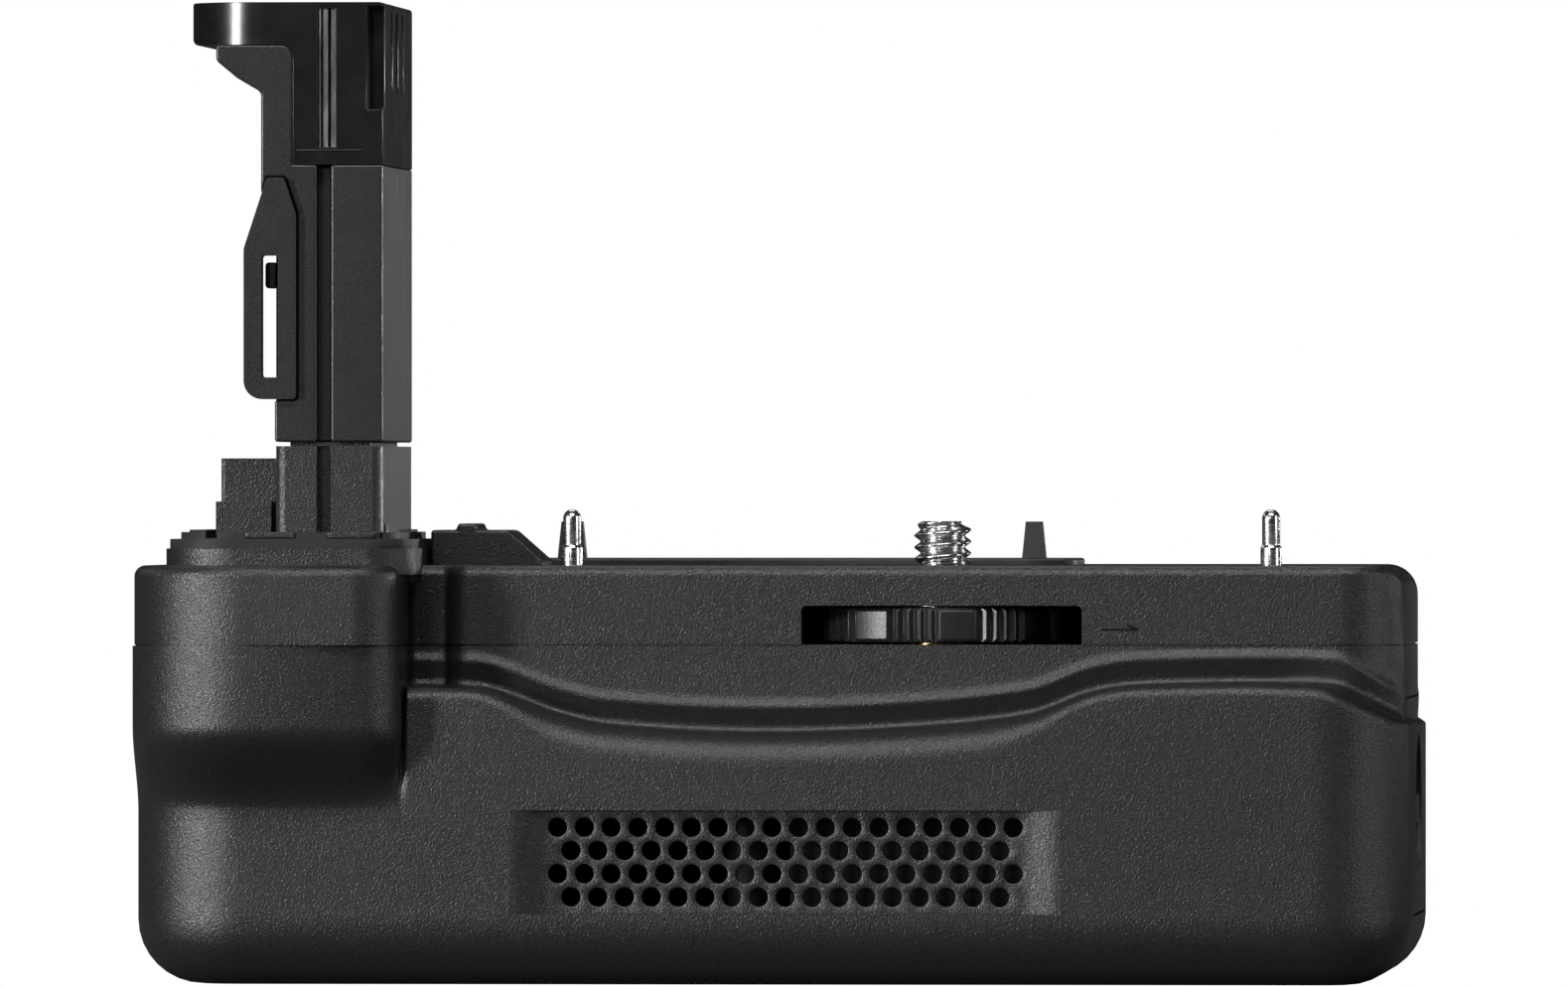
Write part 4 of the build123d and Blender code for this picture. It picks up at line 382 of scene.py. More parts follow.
def soften(piece, width, segments=2):
    """Rounds a piece's sharp edges by a width in millimetres."""
    bevel = piece.modifiers.new("soft", "BEVEL")
    bevel.width = width * MM
    bevel.segments = segments
    bevel.limit_method = "ANGLE"
    bevel.angle_limit = math.radians(32)
    weighted = piece.modifiers.new("shade", "WEIGHTED_NORMAL")
    weighted.weight = 80
    apply_modifiers(piece)


def ease(t):
    """A smooth step from 0 to 1."""
    t = min(max(t, 0.0), 1.0)
    return t * t * (3 - 2 * t)


def eased_along(value, stretch):
    """A smooth step from 0 to 1 while a value runs through a stretch."""
    return ease((value - stretch[0]) / (stretch[1] - stretch[0]))


def blend(a, b, t):
    """A value or point part of the way from a to b."""
    if isinstance(a, tuple):
        return tuple(p + (q - p) * t for p, q in zip(a, b))
    return a + (b - a) * t


def moved(point, normal, distance):
    """X and Y of a point after a step along a normal."""
    return (point[0] + normal[0] * distance, point[1] + normal[1] * distance)


def line_points(a, b, count):
    """Points or values on a line with both ends."""
    return [blend(a, b, index / count) for index in range(count + 1)]


def arc_points(centre, radius, start, end, count):
    """Points on an arc, angles in degrees, with both ends."""
    points = []
    for index in range(count + 1):
        angle = math.radians(start + (end - start) * index / count)
        points.append((centre[0] + radius * math.cos(angle), centre[1] + radius * math.sin(angle)))
    return points


def rounded_outline(a0, a1, b0, b1, radius, steps=8):
    """Corners of a rounded rectangle."""
    outline = []
    for ca, cb, start in (
        (a1 - radius, b1 - radius, 0), (a0 + radius, b1 - radius, 90),
        (a0 + radius, b0 + radius, 180), (a1 - radius, b0 + radius, 270),
    ):
        outline += arc_points((ca, cb), radius, start, start + 90, steps)
    return outline


# Outline of the lower housing: stations round the body, each with a lower and an upper point

GRILLE_X_STEPS = line_points(GRILLE_LEFT_X, GRILLE_RIGHT_X, GRILLE_COLUMNS)
GRILLE_Z_STEPS = line_points(GRILLE_LOW_Z, GRILLE_HIGH_Z, GRILLE_LINES)
LEAD_X_STEPS = (-31.2, -30.0, -28.9)


def front_steps():
    """X of the stations along the main front, one of them at each column of the grille."""
    lead = [MAIN_LEFT_X + MAIN_CORNER, *LEAD_X_STEPS]
    tail = line_points(GRILLE_RIGHT_X, RIGHT_X - BASE_CORNER, 30)
    return lead + GRILLE_X_STEPS + tail[1:]


def stations():
    """Lower point, upper point, bulge share and depth of the hollow for each station round the body."""
    rows = []
    left = LEFT_X
    side = BULGE_RIGHT_X
    main = MAIN_LEFT_X

    def add(lower, upper, bulge=(0, 0), hollow=(0, 0)):
        """Stations of one stretch; the bulge share and the hollow's depth change along it."""
        for index, (low, high) in enumerate(zip(lower, upper)):
            t = index / (len(lower) - 1)
            rows.append([low, high, blend(*bulge, ease(t)), blend(*hollow, t)])

    def base(start_x, end_x, count):
        """A stretch of the lower outline's straight front."""
        return line_points((start_x, FRONT_Y), (end_x, FRONT_Y), count)

    # Left side and left corner of the bulge
    add(
        line_points((left, BACK_Y - BASE_CORNER), (left, FRONT_Y + GRIP_BASE_CORNER), 12),
        line_points((left, UPPER_BACK_Y - UPPER_BACK_CORNER), (left, GRIP_FRONT_Y + GRIP_CORNER), 12),
        (0, 1),
    )
    low_centre = (left + GRIP_BASE_CORNER, FRONT_Y + GRIP_BASE_CORNER)
    high_centre = (left + GRIP_CORNER, GRIP_FRONT_Y + GRIP_CORNER)
    add(
        arc_points(low_centre, GRIP_BASE_CORNER, 180, 270, 18),
        arc_points(high_centre, GRIP_CORNER, 180, 270, 18), (1, 1),
    )

    # Domed front and right corner of the bulge
    turn = math.radians(BULGE_CORNER_TURN)
    corner_x = side - BULGE_CORNER
    corner_y = GRIP_FRONT_Y + BULGE_DOME + BULGE_CORNER * math.sin(turn)
    dome_end_x = corner_x + BULGE_CORNER * math.cos(turn)
    dome = [
        (blend(left + GRIP_CORNER, dome_end_x, t), GRIP_FRONT_Y + BULGE_DOME * t**2)
        for t in line_points(0.0, 1.0, 12)
    ]
    add(base(left + GRIP_BASE_CORNER, corner_x, 12), dome, (1, 1))
    add(
        base(corner_x, side - VALLEY_LEFT_CORNER / 2, 12),
        arc_points((corner_x, corner_y), BULGE_CORNER, 360 - BULGE_CORNER_TURN, 360, 12), (1, 1),
    )

    # Valley between the bulge and the finger form
    valley_x = side + VALLEY_LEFT_CORNER
    valley_y = VALLEY_FLOOR_Y - VALLEY_LEFT_CORNER
    add(
        base(side - VALLEY_LEFT_CORNER / 2, side + VALLEY_LEFT_CORNER / 2, 14),
        line_points((side, corner_y), (side, valley_y), 14), (1, 0),
    )
    add(
        base(side + VALLEY_LEFT_CORNER / 2, valley_x, 5),
        arc_points((valley_x, valley_y), VALLEY_LEFT_CORNER, 180, 90, 5),
    )
    exit_x = main - VALLEY_RIGHT_CORNER
    add(base(valley_x, exit_x, 4), line_points((valley_x, VALLEY_FLOOR_Y), (exit_x, VALLEY_FLOOR_Y), 4))
    add(
        base(exit_x, main - VALLEY_RIGHT_CORNER / 4, 4),
        arc_points((exit_x, VALLEY_FLOOR_Y - VALLEY_RIGHT_CORNER), VALLEY_RIGHT_CORNER, 90, 0, 4),
    )

    # Left corner and front of the finger form
    add(
        base(main - VALLEY_RIGHT_CORNER / 4, main + MAIN_CORNER, 10),
        arc_points((main + MAIN_CORNER, UPPER_FRONT_Y + MAIN_CORNER), MAIN_CORNER, 180, 270, 10),
        hollow=(0, HOLLOW_LEFT),
    )
    lower = [(x, FRONT_Y) for x in front_steps()]
    first_x = lower[0][0]
    last_x = lower[-1][0]
    gain = UPPER_RIGHT_X - UPPER_FRONT_CORNER - last_x
    add(lower, [(x + gain * eased_along(x, (UPPER_WIDENS_X, last_x)), UPPER_FRONT_Y) for x, _ in lower])
    for row in rows[-len(lower):]:
        grown = (HOLLOW_MIDDLE - HOLLOW_LEFT) * ease((row[0][0] - first_x) / HOLLOW_LEAD)
        faded = (HOLLOW_MIDDLE - HOLLOW_RIGHT) * eased_along(row[1][0], HOLLOW_FADES_X)
        row[3] = HOLLOW_LEFT + grown - faded

    # Right corner, right side, back and left back corner
    right = RIGHT_X - BASE_CORNER
    back = BACK_Y - BASE_CORNER
    upper_back_x = UPPER_RIGHT_X - UPPER_BACK_CORNER
    upper_back_y = UPPER_BACK_Y - UPPER_BACK_CORNER
    upper_front_x = UPPER_RIGHT_X - UPPER_FRONT_CORNER
    upper_front_y = UPPER_FRONT_Y + UPPER_FRONT_CORNER
    add(
        arc_points((right, FRONT_Y + BASE_CORNER), BASE_CORNER, 270, 360, 18),
        arc_points((upper_front_x, upper_front_y), UPPER_FRONT_CORNER, 270, 360, 18),
        hollow=(HOLLOW_RIGHT, 0),
    )
    add(
        line_points((RIGHT_X, FRONT_Y + BASE_CORNER), (RIGHT_X, back), 14),
        line_points((UPPER_RIGHT_X, upper_front_y), (UPPER_RIGHT_X, upper_back_y), 14),
    )
    add(
        arc_points((right, back), BASE_CORNER, 0, 90, 16),
        arc_points((upper_back_x, upper_back_y), UPPER_BACK_CORNER, 0, 90, 16),
    )
    add(
        line_points((right, BACK_Y), (left + BASE_CORNER, BACK_Y), 60),
        line_points((upper_back_x, UPPER_BACK_Y), (left + UPPER_BACK_CORNER, UPPER_BACK_Y), 60),
    )
    add(
        arc_points((left + BASE_CORNER, back), BASE_CORNER, 90, 180, 16),
        arc_points((left + UPPER_BACK_CORNER, upper_back_y), UPPER_BACK_CORNER, 90, 180, 16),
    )
    return without_repeats(rows)


def without_repeats(rows):
    """The stations of a closed outline, one of each two that fall together left out."""
    kept = []
    for row in rows:
        if not kept or station_gap(kept[-1], row) >= SAME_STATION:
            kept.append(row)
    if station_gap(kept[-1], kept[0]) < SAME_STATION:
        kept.pop()
    return kept


def station_gap(a, b):
    """How far two stations are apart, below and above together."""
    return math.dist(a[0], b[0]) + math.dist(a[1], b[1])


def inward(rows, index, which):
    """Unit normal into the body at a station of one outline."""
    count = len(rows)
    a = rows[(index - 1) % count][which]
    b = rows[(index + 1) % count][which]
    dx, dy = b[0] - a[0], b[1] - a[1]
    length = math.hypot(dx, dy) or 1.0
    return (-dy / length, dx / length)


def on_front(point):
    """True for a point of the lower outline that lies in the main front's plane."""
    return abs(point[1] - FRONT_Y) < CLOSE


# Profile of the lower housing: from the base up to the parting line at each station


def crease_drop(x):
    """Drop of the finger form's edge below the parting line at X."""
    if x <= CREASE[0][0]:
        return CREASE[0][1]
    last = len(CREASE) - 1
    index = max(i for i in range(last) if CREASE[i][0] <= x)
    x0, d0 = CREASE[index]
    x1, d1 = CREASE[index + 1]
    before = CREASE[max(index - 1, 0)]
    after = CREASE[min(index + 2, last)]
    slope0 = (d1 - before[1]) / (x1 - before[0]) if index > 0 else 0.0
    slope1 = (after[1] - d0) / (after[0] - x0) if index < last - 1 else CREASE_END_SLOPE
    t = (x - x0) / (x1 - x0)
    h = x1 - x0
    return (
        (2 * t**3 - 3 * t**2 + 1) * d0
        + (t**3 - 2 * t**2 + t) * h * slope0
        + (-2 * t**3 + 3 * t**2) * d1
        + (t**3 - t**2) * h * slope1
    )


def shoulder_radius(x, y):
    """Rounding of the shoulder: tight at both ends of the front, broad between and at the back."""
    if y > 0:
        return SHOULDER_RADIUS + SHOULDER_BACK_GAIN * eased_along(y, SHOULDER_WIDENS_Y)
    widened = eased_along(x, SHOULDER_WIDENS_X)
    narrowed = eased_along(x, SHOULDER_NARROWS_X)
    return SHOULDER_RADIUS + SHOULDER_FRONT_GAIN * widened * (1 - narrowed)


def rounded_turns(start, corners, end):
    """Points round the corners between two ends; each corner has its radius and its count of steps."""
    path = [start] + [corner for corner, _, _ in corners] + [end]
    points = []
    for before, (corner, radius, count), after in zip(path, corners, path[2:]):
        reach_in = math.dist(before, corner)
        reach_out = math.dist(corner, after)
        radius = min(radius, ROUNDING_SHARE * reach_in, ROUNDING_SHARE * reach_out)
        first = blend(corner, before, radius / max(reach_in, CLOSE))
        last = blend(corner, after, radius / max(reach_out, CLOSE))
        centre = (first[0] + last[0] - corner[0], first[1] + last[1] - corner[1])
        for step in range(count + 1):
            angle = math.radians(90 * step / count)
            points.append(tuple(
                c + (p - c) * math.cos(angle) + (q - c) * math.sin(angle)
                for c, p, q in zip(centre, first, last)
            ))
    return points


def main_profile(row, normal):
    """The finger form above the grille as S, the way in from the lower outline, and Z; then its depth."""
    low, high, _, hollow = row
    depth = max((high[0] - low[0]) * normal[0] + (high[1] - low[1]) * normal[1], 0.0)
    crease_z = PARTING_Z - crease_drop(high[0] if low[1] < 0 else low[0])
    shelf_z = crease_z - SHOULDER_DROP
    lip = depth - LIP_FLARE * min(depth / LIP_FLARE_FULL_DEPTH, 1.0)
    corners = (
        ((0.0, shelf_z), shoulder_radius(low[0], low[1]), 12),
        ((depth + hollow, shelf_z), HOLLOW_RADIUS, 6),
        ((lip, crease_z), LIP_RADIUS, 4),
        ((lip, crease_z + LIP_HEIGHT), FLARE_START_RADIUS, 3),
        ((depth, crease_z + FLARE_TOP), FLARE_END_RADIUS, 4),
    )
    turns = rounded_turns((0.0, GRILLE_HIGH_Z), corners, (depth, WALL_TOP_Z))
    rise = [(0.0, z) for z in line_points(GRILLE_HIGH_Z, turns[0][1], 12)]
    wall = [(depth, z) for z in line_points(turns[-1][1], WALL_TOP_Z, 3)]
    return rise[:-1] + turns + wall[1:], depth


def skin_column(rows, index):
    """Points of one station from the base up."""
    row = rows[index]
    low, high, bulge, _ = row
    low_normal = inward(rows, index, 0)
    if on_front(low) and LEFT_X + GRIP_BASE_CORNER + CLOSE < low[0] < RIGHT_X - BASE_CORNER - CLOSE:
        low_normal = (0.0, 1.0)
    high_normal = inward(rows, index, 1)
    lower = []
    for step in range(BASE_FILLET_STEPS + 1):
        angle = math.radians(90 * step / BASE_FILLET_STEPS)
        inset = BASE_FILLET * (1 - math.sin(angle))
        z = BASE_FILLET * (1 - math.cos(angle))
        lower.append((*moved(low, low_normal, inset), z))
    lower += [(*low, z) for z in GRILLE_Z_STEPS[:-1]]
    profile, depth = main_profile(row, low_normal)
    upper = []
    for s, z in profile:
        share = eased_along(z, (GRILLE_HIGH_Z, WALL_TOP_Z))
        extra = 0.0
        if depth > UPRIGHT_DEPTH:
            share = min(s / depth, 1.0)
            extra = max(s - depth, 0.0)
        upper.append((*moved(blend(low, high, share), high_normal, extra), z))
    if bulge > 0:
        for step, point in enumerate(upper):
            z = blend(GRILLE_HIGH_Z, WALL_TOP_Z, step / (len(upper) - 1))
            grip = (*blend(low, high, eased_along(z, BULGE_GROWS_Z)), z)
            upper[step] = blend(point, grip, bulge)
    rim = moved(upper[-1], high_normal, PARTING_GROOVE)
    return lower + upper + [(*rim, upper[-1][2]), (*rim, PARTING_Z)]


def build_lower_skin():
    """The outer skin of the lower housing, open where the grille's panel goes."""
    rows = stations()
    columns = [skin_column(rows, index) for index in range(len(rows))]
    height = len(columns[0])
    points = [point for column in columns for point in column]
    faces = []
    grille_bottom = BASE_FILLET_STEPS + 1
    grille_top = grille_bottom + GRILLE_LINES
    for index in range(len(columns)):
        following = (index + 1) % len(columns)
        here = rows[index][0]
        there = rows[following][0]
        in_grille = on_front(here) and on_front(there) and (
            GRILLE_LEFT_X - CLOSE < here[0] < there[0] < GRILLE_RIGHT_X + CLOSE
        )
        for step in range(height - 1):
            if in_grille and grille_bottom <= step < grille_top:
                continue
            a = index * height + step
            b = following * height + step
            faces.append((a, b, b + 1, a + 1))
    faces.append(tuple(index * height for index in reversed(range(len(columns)))))
    return add_piece("lower_shell", points, faces, TEXTURED, "housing")


def solidify(piece, thickness):
    """Gives a skin its wall on the inside."""
    wall = piece.modifiers.new("wall", "SOLIDIFY")
    wall.thickness = thickness * MM
    wall.offset = -1
    wall.use_even_offset = False
    wall.use_quality_normals = True


# Magazine bay: the skin's right end is parted into the housing's wall and the magazine's end cap


def tray_outline(clearance, top_z, corner):
    """Outline round the magazine tray, seen along X."""
    return rounded_outline(
        TRAY_LOW[1] - clearance, TRAY_HIGH[1] + clearance, TRAY_LOW[2] - clearance, top_z, corner,
    )


OPENING = tray_outline(BAY_CLEARANCE, BAY_TOP_Z, BAY_CORNER)
CAP_OUTLINE = tray_outline(CAP_CLEARANCE, CAP_TOP_Z, CAP_CORNER)
KNOB_OUTLINE = arc_points((KNOB_Y, KNOB_Z), KNOB_RECESS_RADIUS, 0, 360, KNOB_RECESS_SIDES)[:-1]


def holds(outline, y, z):
    """True where a point lies inside a convex outline that runs anticlockwise."""
    for a, b in zip(outline, outline[1:] + outline[:1]):
        if (b[0] - a[0]) * (z - a[1]) - (b[1] - a[1]) * (y - a[0]) < 0:
            return False
    return True


def score(bm, outline):
    """Cuts an outline's edges into the faces of a patch that is seen along X."""
    margin = 0.02
    for a, b in zip(outline, outline[1:] + outline[:1]):
        low = (min(a[0], b[0]) - margin, min(a[1], b[1]) - margin)
        high = (max(a[0], b[0]) + margin, max(a[1], b[1]) + margin)
        near = set()
        for face in bm.faces:
            ys = [vert.co.y / MM for vert in face.verts]
            zs = [vert.co.z / MM for vert in face.verts]
            if max(ys) > low[0] and min(ys) < high[0] and max(zs) > low[1] and min(zs) < high[1]:
                near.add(face)
        for face in list(near):
            near.update(face.edges)
            near.update(face.verts)
        bmesh.ops.bisect_plane(
            bm, geom=list(near), dist=1e-8, plane_co=(0, a[0] * MM, a[1] * MM),
            plane_no=(0, b[1] - a[1], a[0] - b[0]),
        )


def parted(bm, keep):
    """Points in millimetres and faces of a mesh, for the faces that a test keeps."""
    points = []
    index = {}
    faces = []
    for face in bm.faces:
        centre = face.calc_center_median() / MM
        if not keep(centre.y, centre.z):
            continue
        loop = []
        for vert in face.verts:
            if vert not in index:
                index[vert] = len(points)
                points.append(tuple(vert.co / MM))
            loop.append(index[vert])
        faces.append(tuple(loop))
    return points, faces


def split_right_end(shell):
    """Opens the bay in the skin's right end and gives back the skin of the end cap that closes it."""
    whole = bmesh.new()
    whole.from_mesh(shell.data)
    taken = [face for face in whole.faces if min(vert.co.x for vert in face.verts) > END_PATCH_X * MM]
    patch = bmesh.new()
    copies = {}
    for face in taken:
        for vert in face.verts:
            if vert not in copies:
                copies[vert] = patch.verts.new(vert.co)
        patch.faces.new([copies[vert] for vert in face.verts])
    bmesh.ops.delete(whole, geom=taken, context="FACES")
    score(patch, OPENING)
    score(patch, CAP_OUTLINE)
    score(patch, KNOB_OUTLINE)
    rest = parted(patch, lambda y, z: not holds(OPENING, y, z))
    cap = parted(patch, lambda y, z: holds(CAP_OUTLINE, y, z) and not holds(KNOB_OUTLINE, y, z))
    patch.free()
    verts = [whole.verts.new([value * MM for value in point]) for point in rest[0]]
    for face in rest[1]:
        whole.faces.new([verts[index] for index in face])
    bmesh.ops.remove_doubles(whole, verts=whole.verts, dist=2e-7)
    whole.to_mesh(shell.data)
    whole.free()
    return cap


def build_end_cap(skin):
    """End cap that carries on the body's skin, with a round recess for the turn knob."""
    bm = bmesh.new()
    verts = [bm.verts.new(point) for point in skin[0]]
    for face in skin[1]:
        bm.faces.new([verts[index] for index in face])
    rim = [edge for edge in bm.edges if len(edge.link_faces) == 1]
    made = bmesh.ops.extrude_edge_only(bm, edges=rim)["geom"]
    for vert in made:
        if isinstance(vert, bmesh.types.BMVert):
            from_knob = math.hypot(vert.co.y - KNOB_Y, vert.co.z - KNOB_Z)
            vert.co.x = KNOB_FLOOR_X if from_knob < KNOB_RECESS_RADIUS + 0.05 else RIGHT_X - CAP_THICKNESS
    floor = [
        edge for edge in bm.edges
        if len(edge.link_faces) == 1 and all(abs(vert.co.x - KNOB_FLOOR_X) < 1e-4 for vert in edge.verts)
    ]
    bmesh.ops.contextual_create(bm, geom=floor)
    bmesh.ops.recalc_face_normals(bm, faces=bm.faces)
    if max(bm.faces, key=lambda face: face.calc_area()).normal.x < 0:
        bmesh.ops.reverse_faces(bm, faces=bm.faces)
    bmesh.ops.scale(bm, vec=(MM, MM, MM), verts=bm.verts)
    mesh = bpy.data.meshes.new("end_cap")
    bm.to_mesh(mesh)
    bm.free()
    mesh.materials.append(TEXTURED)
    cap = bpy.data.objects.new("end_cap", mesh)
    bpy.context.collection.objects.link(cap)
    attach(cap, "magazine")
    smooth_by_angle(cap, 38)
    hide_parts("magazine_end_cap")


lower_shell = build_lower_skin()
cap_skin = split_right_end(lower_shell)
solidify(lower_shell, SHELL_WALL)
apply_modifiers(lower_shell)
smooth_by_angle(lower_shell, 38)
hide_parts("lower_housing")
build_end_cap(cap_skin)


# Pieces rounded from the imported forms, each with the width of its edges

EDGE_WIDTHS = {
    "upper_housing": 0.3,
    "outlet_frame": 0.16,
    "recess_key": 0.35,
    "column_gasket": 0.12,
    "column_block": 0.3,
    "side_block": 0.3,
    "column_stem": 0.3,
    "column_cap": 0.25,
    "door_holder": 0.25,
    "holder_peg": 0.15,
    "lock_wheel": 0.08,
    "magazine_tray": 0.25,
    "battery_pack": 0.6,
    "turn_knob": 0.2,
    "knob_tongue": 0.12,
    "tripod_socket": 0.15,
    "chassis_plate": 0.1,
    "fan_frame": 0.25,
    "fan_rotor": 0.12,
    "air_duct": 0.12,
    "bay_contact_block": 0.2,
    "board_components": 0.12,
    "bay_frame": 0.2,
    "fan_standoffs": 0.15,
    "circuit_board": 0.08,
}


def add_softened_form(node, width):
    """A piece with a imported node's form and softened edges."""
    source = frame["nodes"][node]
    mesh = source.data.copy()
    bm = bmesh.new()
    bm.from_mesh(mesh)
    bmesh.ops.remove_doubles(bm, verts=bm.verts, dist=1e-7)
    bmesh.ops.dissolve_limit(bm, angle_limit=math.radians(0.6), verts=bm.verts, edges=bm.edges)
    for face in bm.faces:
        face.smooth = True
    for edge in bm.edges:
        edge.smooth = True
    bm.to_mesh(mesh)
    bm.free()
    piece = bpy.data.objects.new(node + "_form", mesh)
    bpy.context.collection.objects.link(piece)
    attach(piece, source["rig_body"])
    soften(piece, width)
    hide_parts(node)


for name, width in EDGE_WIDTHS.items():
    add_softened_form(name, width)


# Turned pieces


def lathe(points, faces, profile, place, sides=64, shape=None):
    """Adds a turned form; a profile point on the axis closes it."""
    rings = []
    for radius, z in profile:
        start = len(points)
        if radius < CLOSE:
            points.append((place[0], place[1], z))
            rings.append([start])
            continue
        for side in range(sides):
            angle = 2 * math.pi * side / sides
            reach = shape(radius, angle, z) if shape else radius
            points.append((place[0] + reach * math.cos(angle), place[1] + reach * math.sin(angle), z))
        rings.append(list(range(start, start + sides)))
    for low, high in zip(rings, rings[1:]):
        for side in range(sides):
            following = (side + 1) % sides
            if len(low) == 1:
                faces.append((low[0], high[following], high[side]))
            elif len(high) == 1:
                faces.append((low[side], low[following], high[0]))
            else:
                faces.append((low[side], low[following], high[following], high[side]))


# Camera screw; the flat and the flank are shares of the pitch
THREAD_PITCH = 1.27
THREAD_DEPTH = 0.66
THREAD_FLAT = 0.06
THREAD_FLANK = 0.38
THREAD_START_Z = TOP_Z + 0.06
THREAD_ROWS = 44
SHANK_INSET = 0.5
SHANK_CHAMFER = 0.15
CLIP_GROOVE_Z = WHEEL_TOP_Z + 0.1
CLIP_GROOVE_WIDTH = 0.8
CLIP_GROOVE_DEPTH = 0.5
TIP_LENGTH = 0.75
TIP_SLOPE = 0.9
TIP_RADIUS = 1.5


def thread_radius(radius, angle, z):
    """Radius of the screw's thread at an angle and height; plain below the thread's start."""
    if z < THREAD_START_Z:
        return radius
    turn = ((z - TOP_Z) / THREAD_PITCH - angle / (2 * math.pi)) % 1.0
    crest = min(max((abs(turn - 0.5) - THREAD_FLAT) / THREAD_FLANK, 0.0), 1.0)
    return radius - THREAD_DEPTH * (1.0 - crest)


def build_screw():
    """Camera screw with a real thread and a chamfered end."""
    outer = (SCREW_HIGH[0] - SCREW_LOW[0]) / 2
    foot = SCREW_LOW[2]
    tip = SCREW_HIGH[2]
    shank = outer - SHANK_INSET
    groove_top = CLIP_GROOVE_Z + CLIP_GROOVE_WIDTH
    profile = [
        (0.0, foot), (shank - SHANK_CHAMFER, foot), (shank, foot + SHANK_CHAMFER), (shank, CLIP_GROOVE_Z),
        (shank - CLIP_GROOVE_DEPTH, CLIP_GROOVE_Z), (shank - CLIP_GROOVE_DEPTH, groove_top),
        (shank, groove_top), (shank, TOP_Z),
    ]
    for z in line_points(THREAD_START_Z, tip, THREAD_ROWS):
        profile.append((outer - TIP_SLOPE * max(z - (tip - TIP_LENGTH), 0.0), z))
    profile += [(TIP_RADIUS, tip + 0.0001), (0.0, tip)]
    points = []
    faces = []
    lathe(points, faces, profile, (SCREW_X, SCREW_Y), 72, thread_radius)
    piece = add_piece("screw_form", points, faces, STEEL, "wheel")
    smooth_by_angle(piece, 50)
    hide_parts("camera_screw")


# Locating pins; heights are above the top face
PIN_FOOT_RADIUS = 1.5
PIN_FOOT_TOP = -0.02
PIN_COLLAR_RADIUS = 1.15
PIN_COLLAR_TOP = 1.85
PIN_COLLAR_CHAMFER = (1.12, 1.95)
PIN_RADIUS = 0.98
PIN_NECK_START = 2.15
PIN_NECK = (0.96, 2.3)
PIN_NECK_END = 2.45


def build_pins():
    """The two locating pins with their stepped foot and round tip."""
    low, high = corners_of("locating_pins")
    y = (low[1] + high[1]) / 2
    tip_z = high[2] - PIN_RADIUS
    profile = [(0.0, low[2]), (PIN_FOOT_RADIUS, low[2])]
    profile += [
        (radius, TOP_Z + height) for radius, height in (
            (PIN_FOOT_RADIUS, PIN_FOOT_TOP), (PIN_COLLAR_RADIUS, PIN_FOOT_TOP),
            (PIN_COLLAR_RADIUS, PIN_COLLAR_TOP), PIN_COLLAR_CHAMFER,
            (PIN_RADIUS, PIN_NECK_START), PIN_NECK, (PIN_RADIUS, PIN_NECK_END),
        )
    ]
    profile += arc_points((0.0, tip_z), PIN_RADIUS, 0, 90, 9)[:-1]
    profile.append((0.0, high[2]))
    points = []
    faces = []
    for x in (low[0] + PIN_FOOT_RADIUS, high[0] - PIN_FOOT_RADIUS):
        lathe(points, faces, profile, (x, y), 48)
    piece = add_piece("pins_form", points, faces, STEEL, "housing")
    smooth_by_angle(piece, 40)
    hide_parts("locating_pins")


build_screw()
build_pins()


# Grille panel


def holes():
    """X and Z of the grille's holes."""
    middle_x = (GRILLE_LEFT_X + GRILLE_RIGHT_X) / 2
    middle_z = (GRILLE_LOW_Z + GRILLE_HIGH_Z) / 2
    centres = []
    for row in range(HOLE_ROWS):
        count = HOLES_IN_LONG_ROW - row % 2
        z = middle_z + HOLE_ROW_PITCH * ((HOLE_ROWS - 1) / 2 - row)
        for column in range(count):
            centres.append((middle_x + HOLE_PITCH * (column - (count - 1) / 2), z))
    return centres


HOLES = holes()


def hole_ring(centre, radius):
    """X and Z of the points round a hole."""
    angles = [2 * math.pi * side / HOLE_SIDES for side in range(HOLE_SIDES)]
    return [(centre[0] + radius * math.cos(angle), centre[1] + radius * math.sin(angle)) for angle in angles]


def clear_of_holes(x, z, reach):
    """True where a point is further than a reach from the middle of every hole."""
    return all(math.hypot(x - cx, z - cz) > reach for cx, cz in HOLES)


def panel_depth(x):
    """How far the panel is sunk at X: ramps at both ends."""
    left = (x - GRILLE_LEFT_X) / GRILLE_RAMP
    right = (GRILLE_RIGHT_X - x) / GRILLE_RAMP
    return GRILLE_DEPTH * ease(min(left, right))


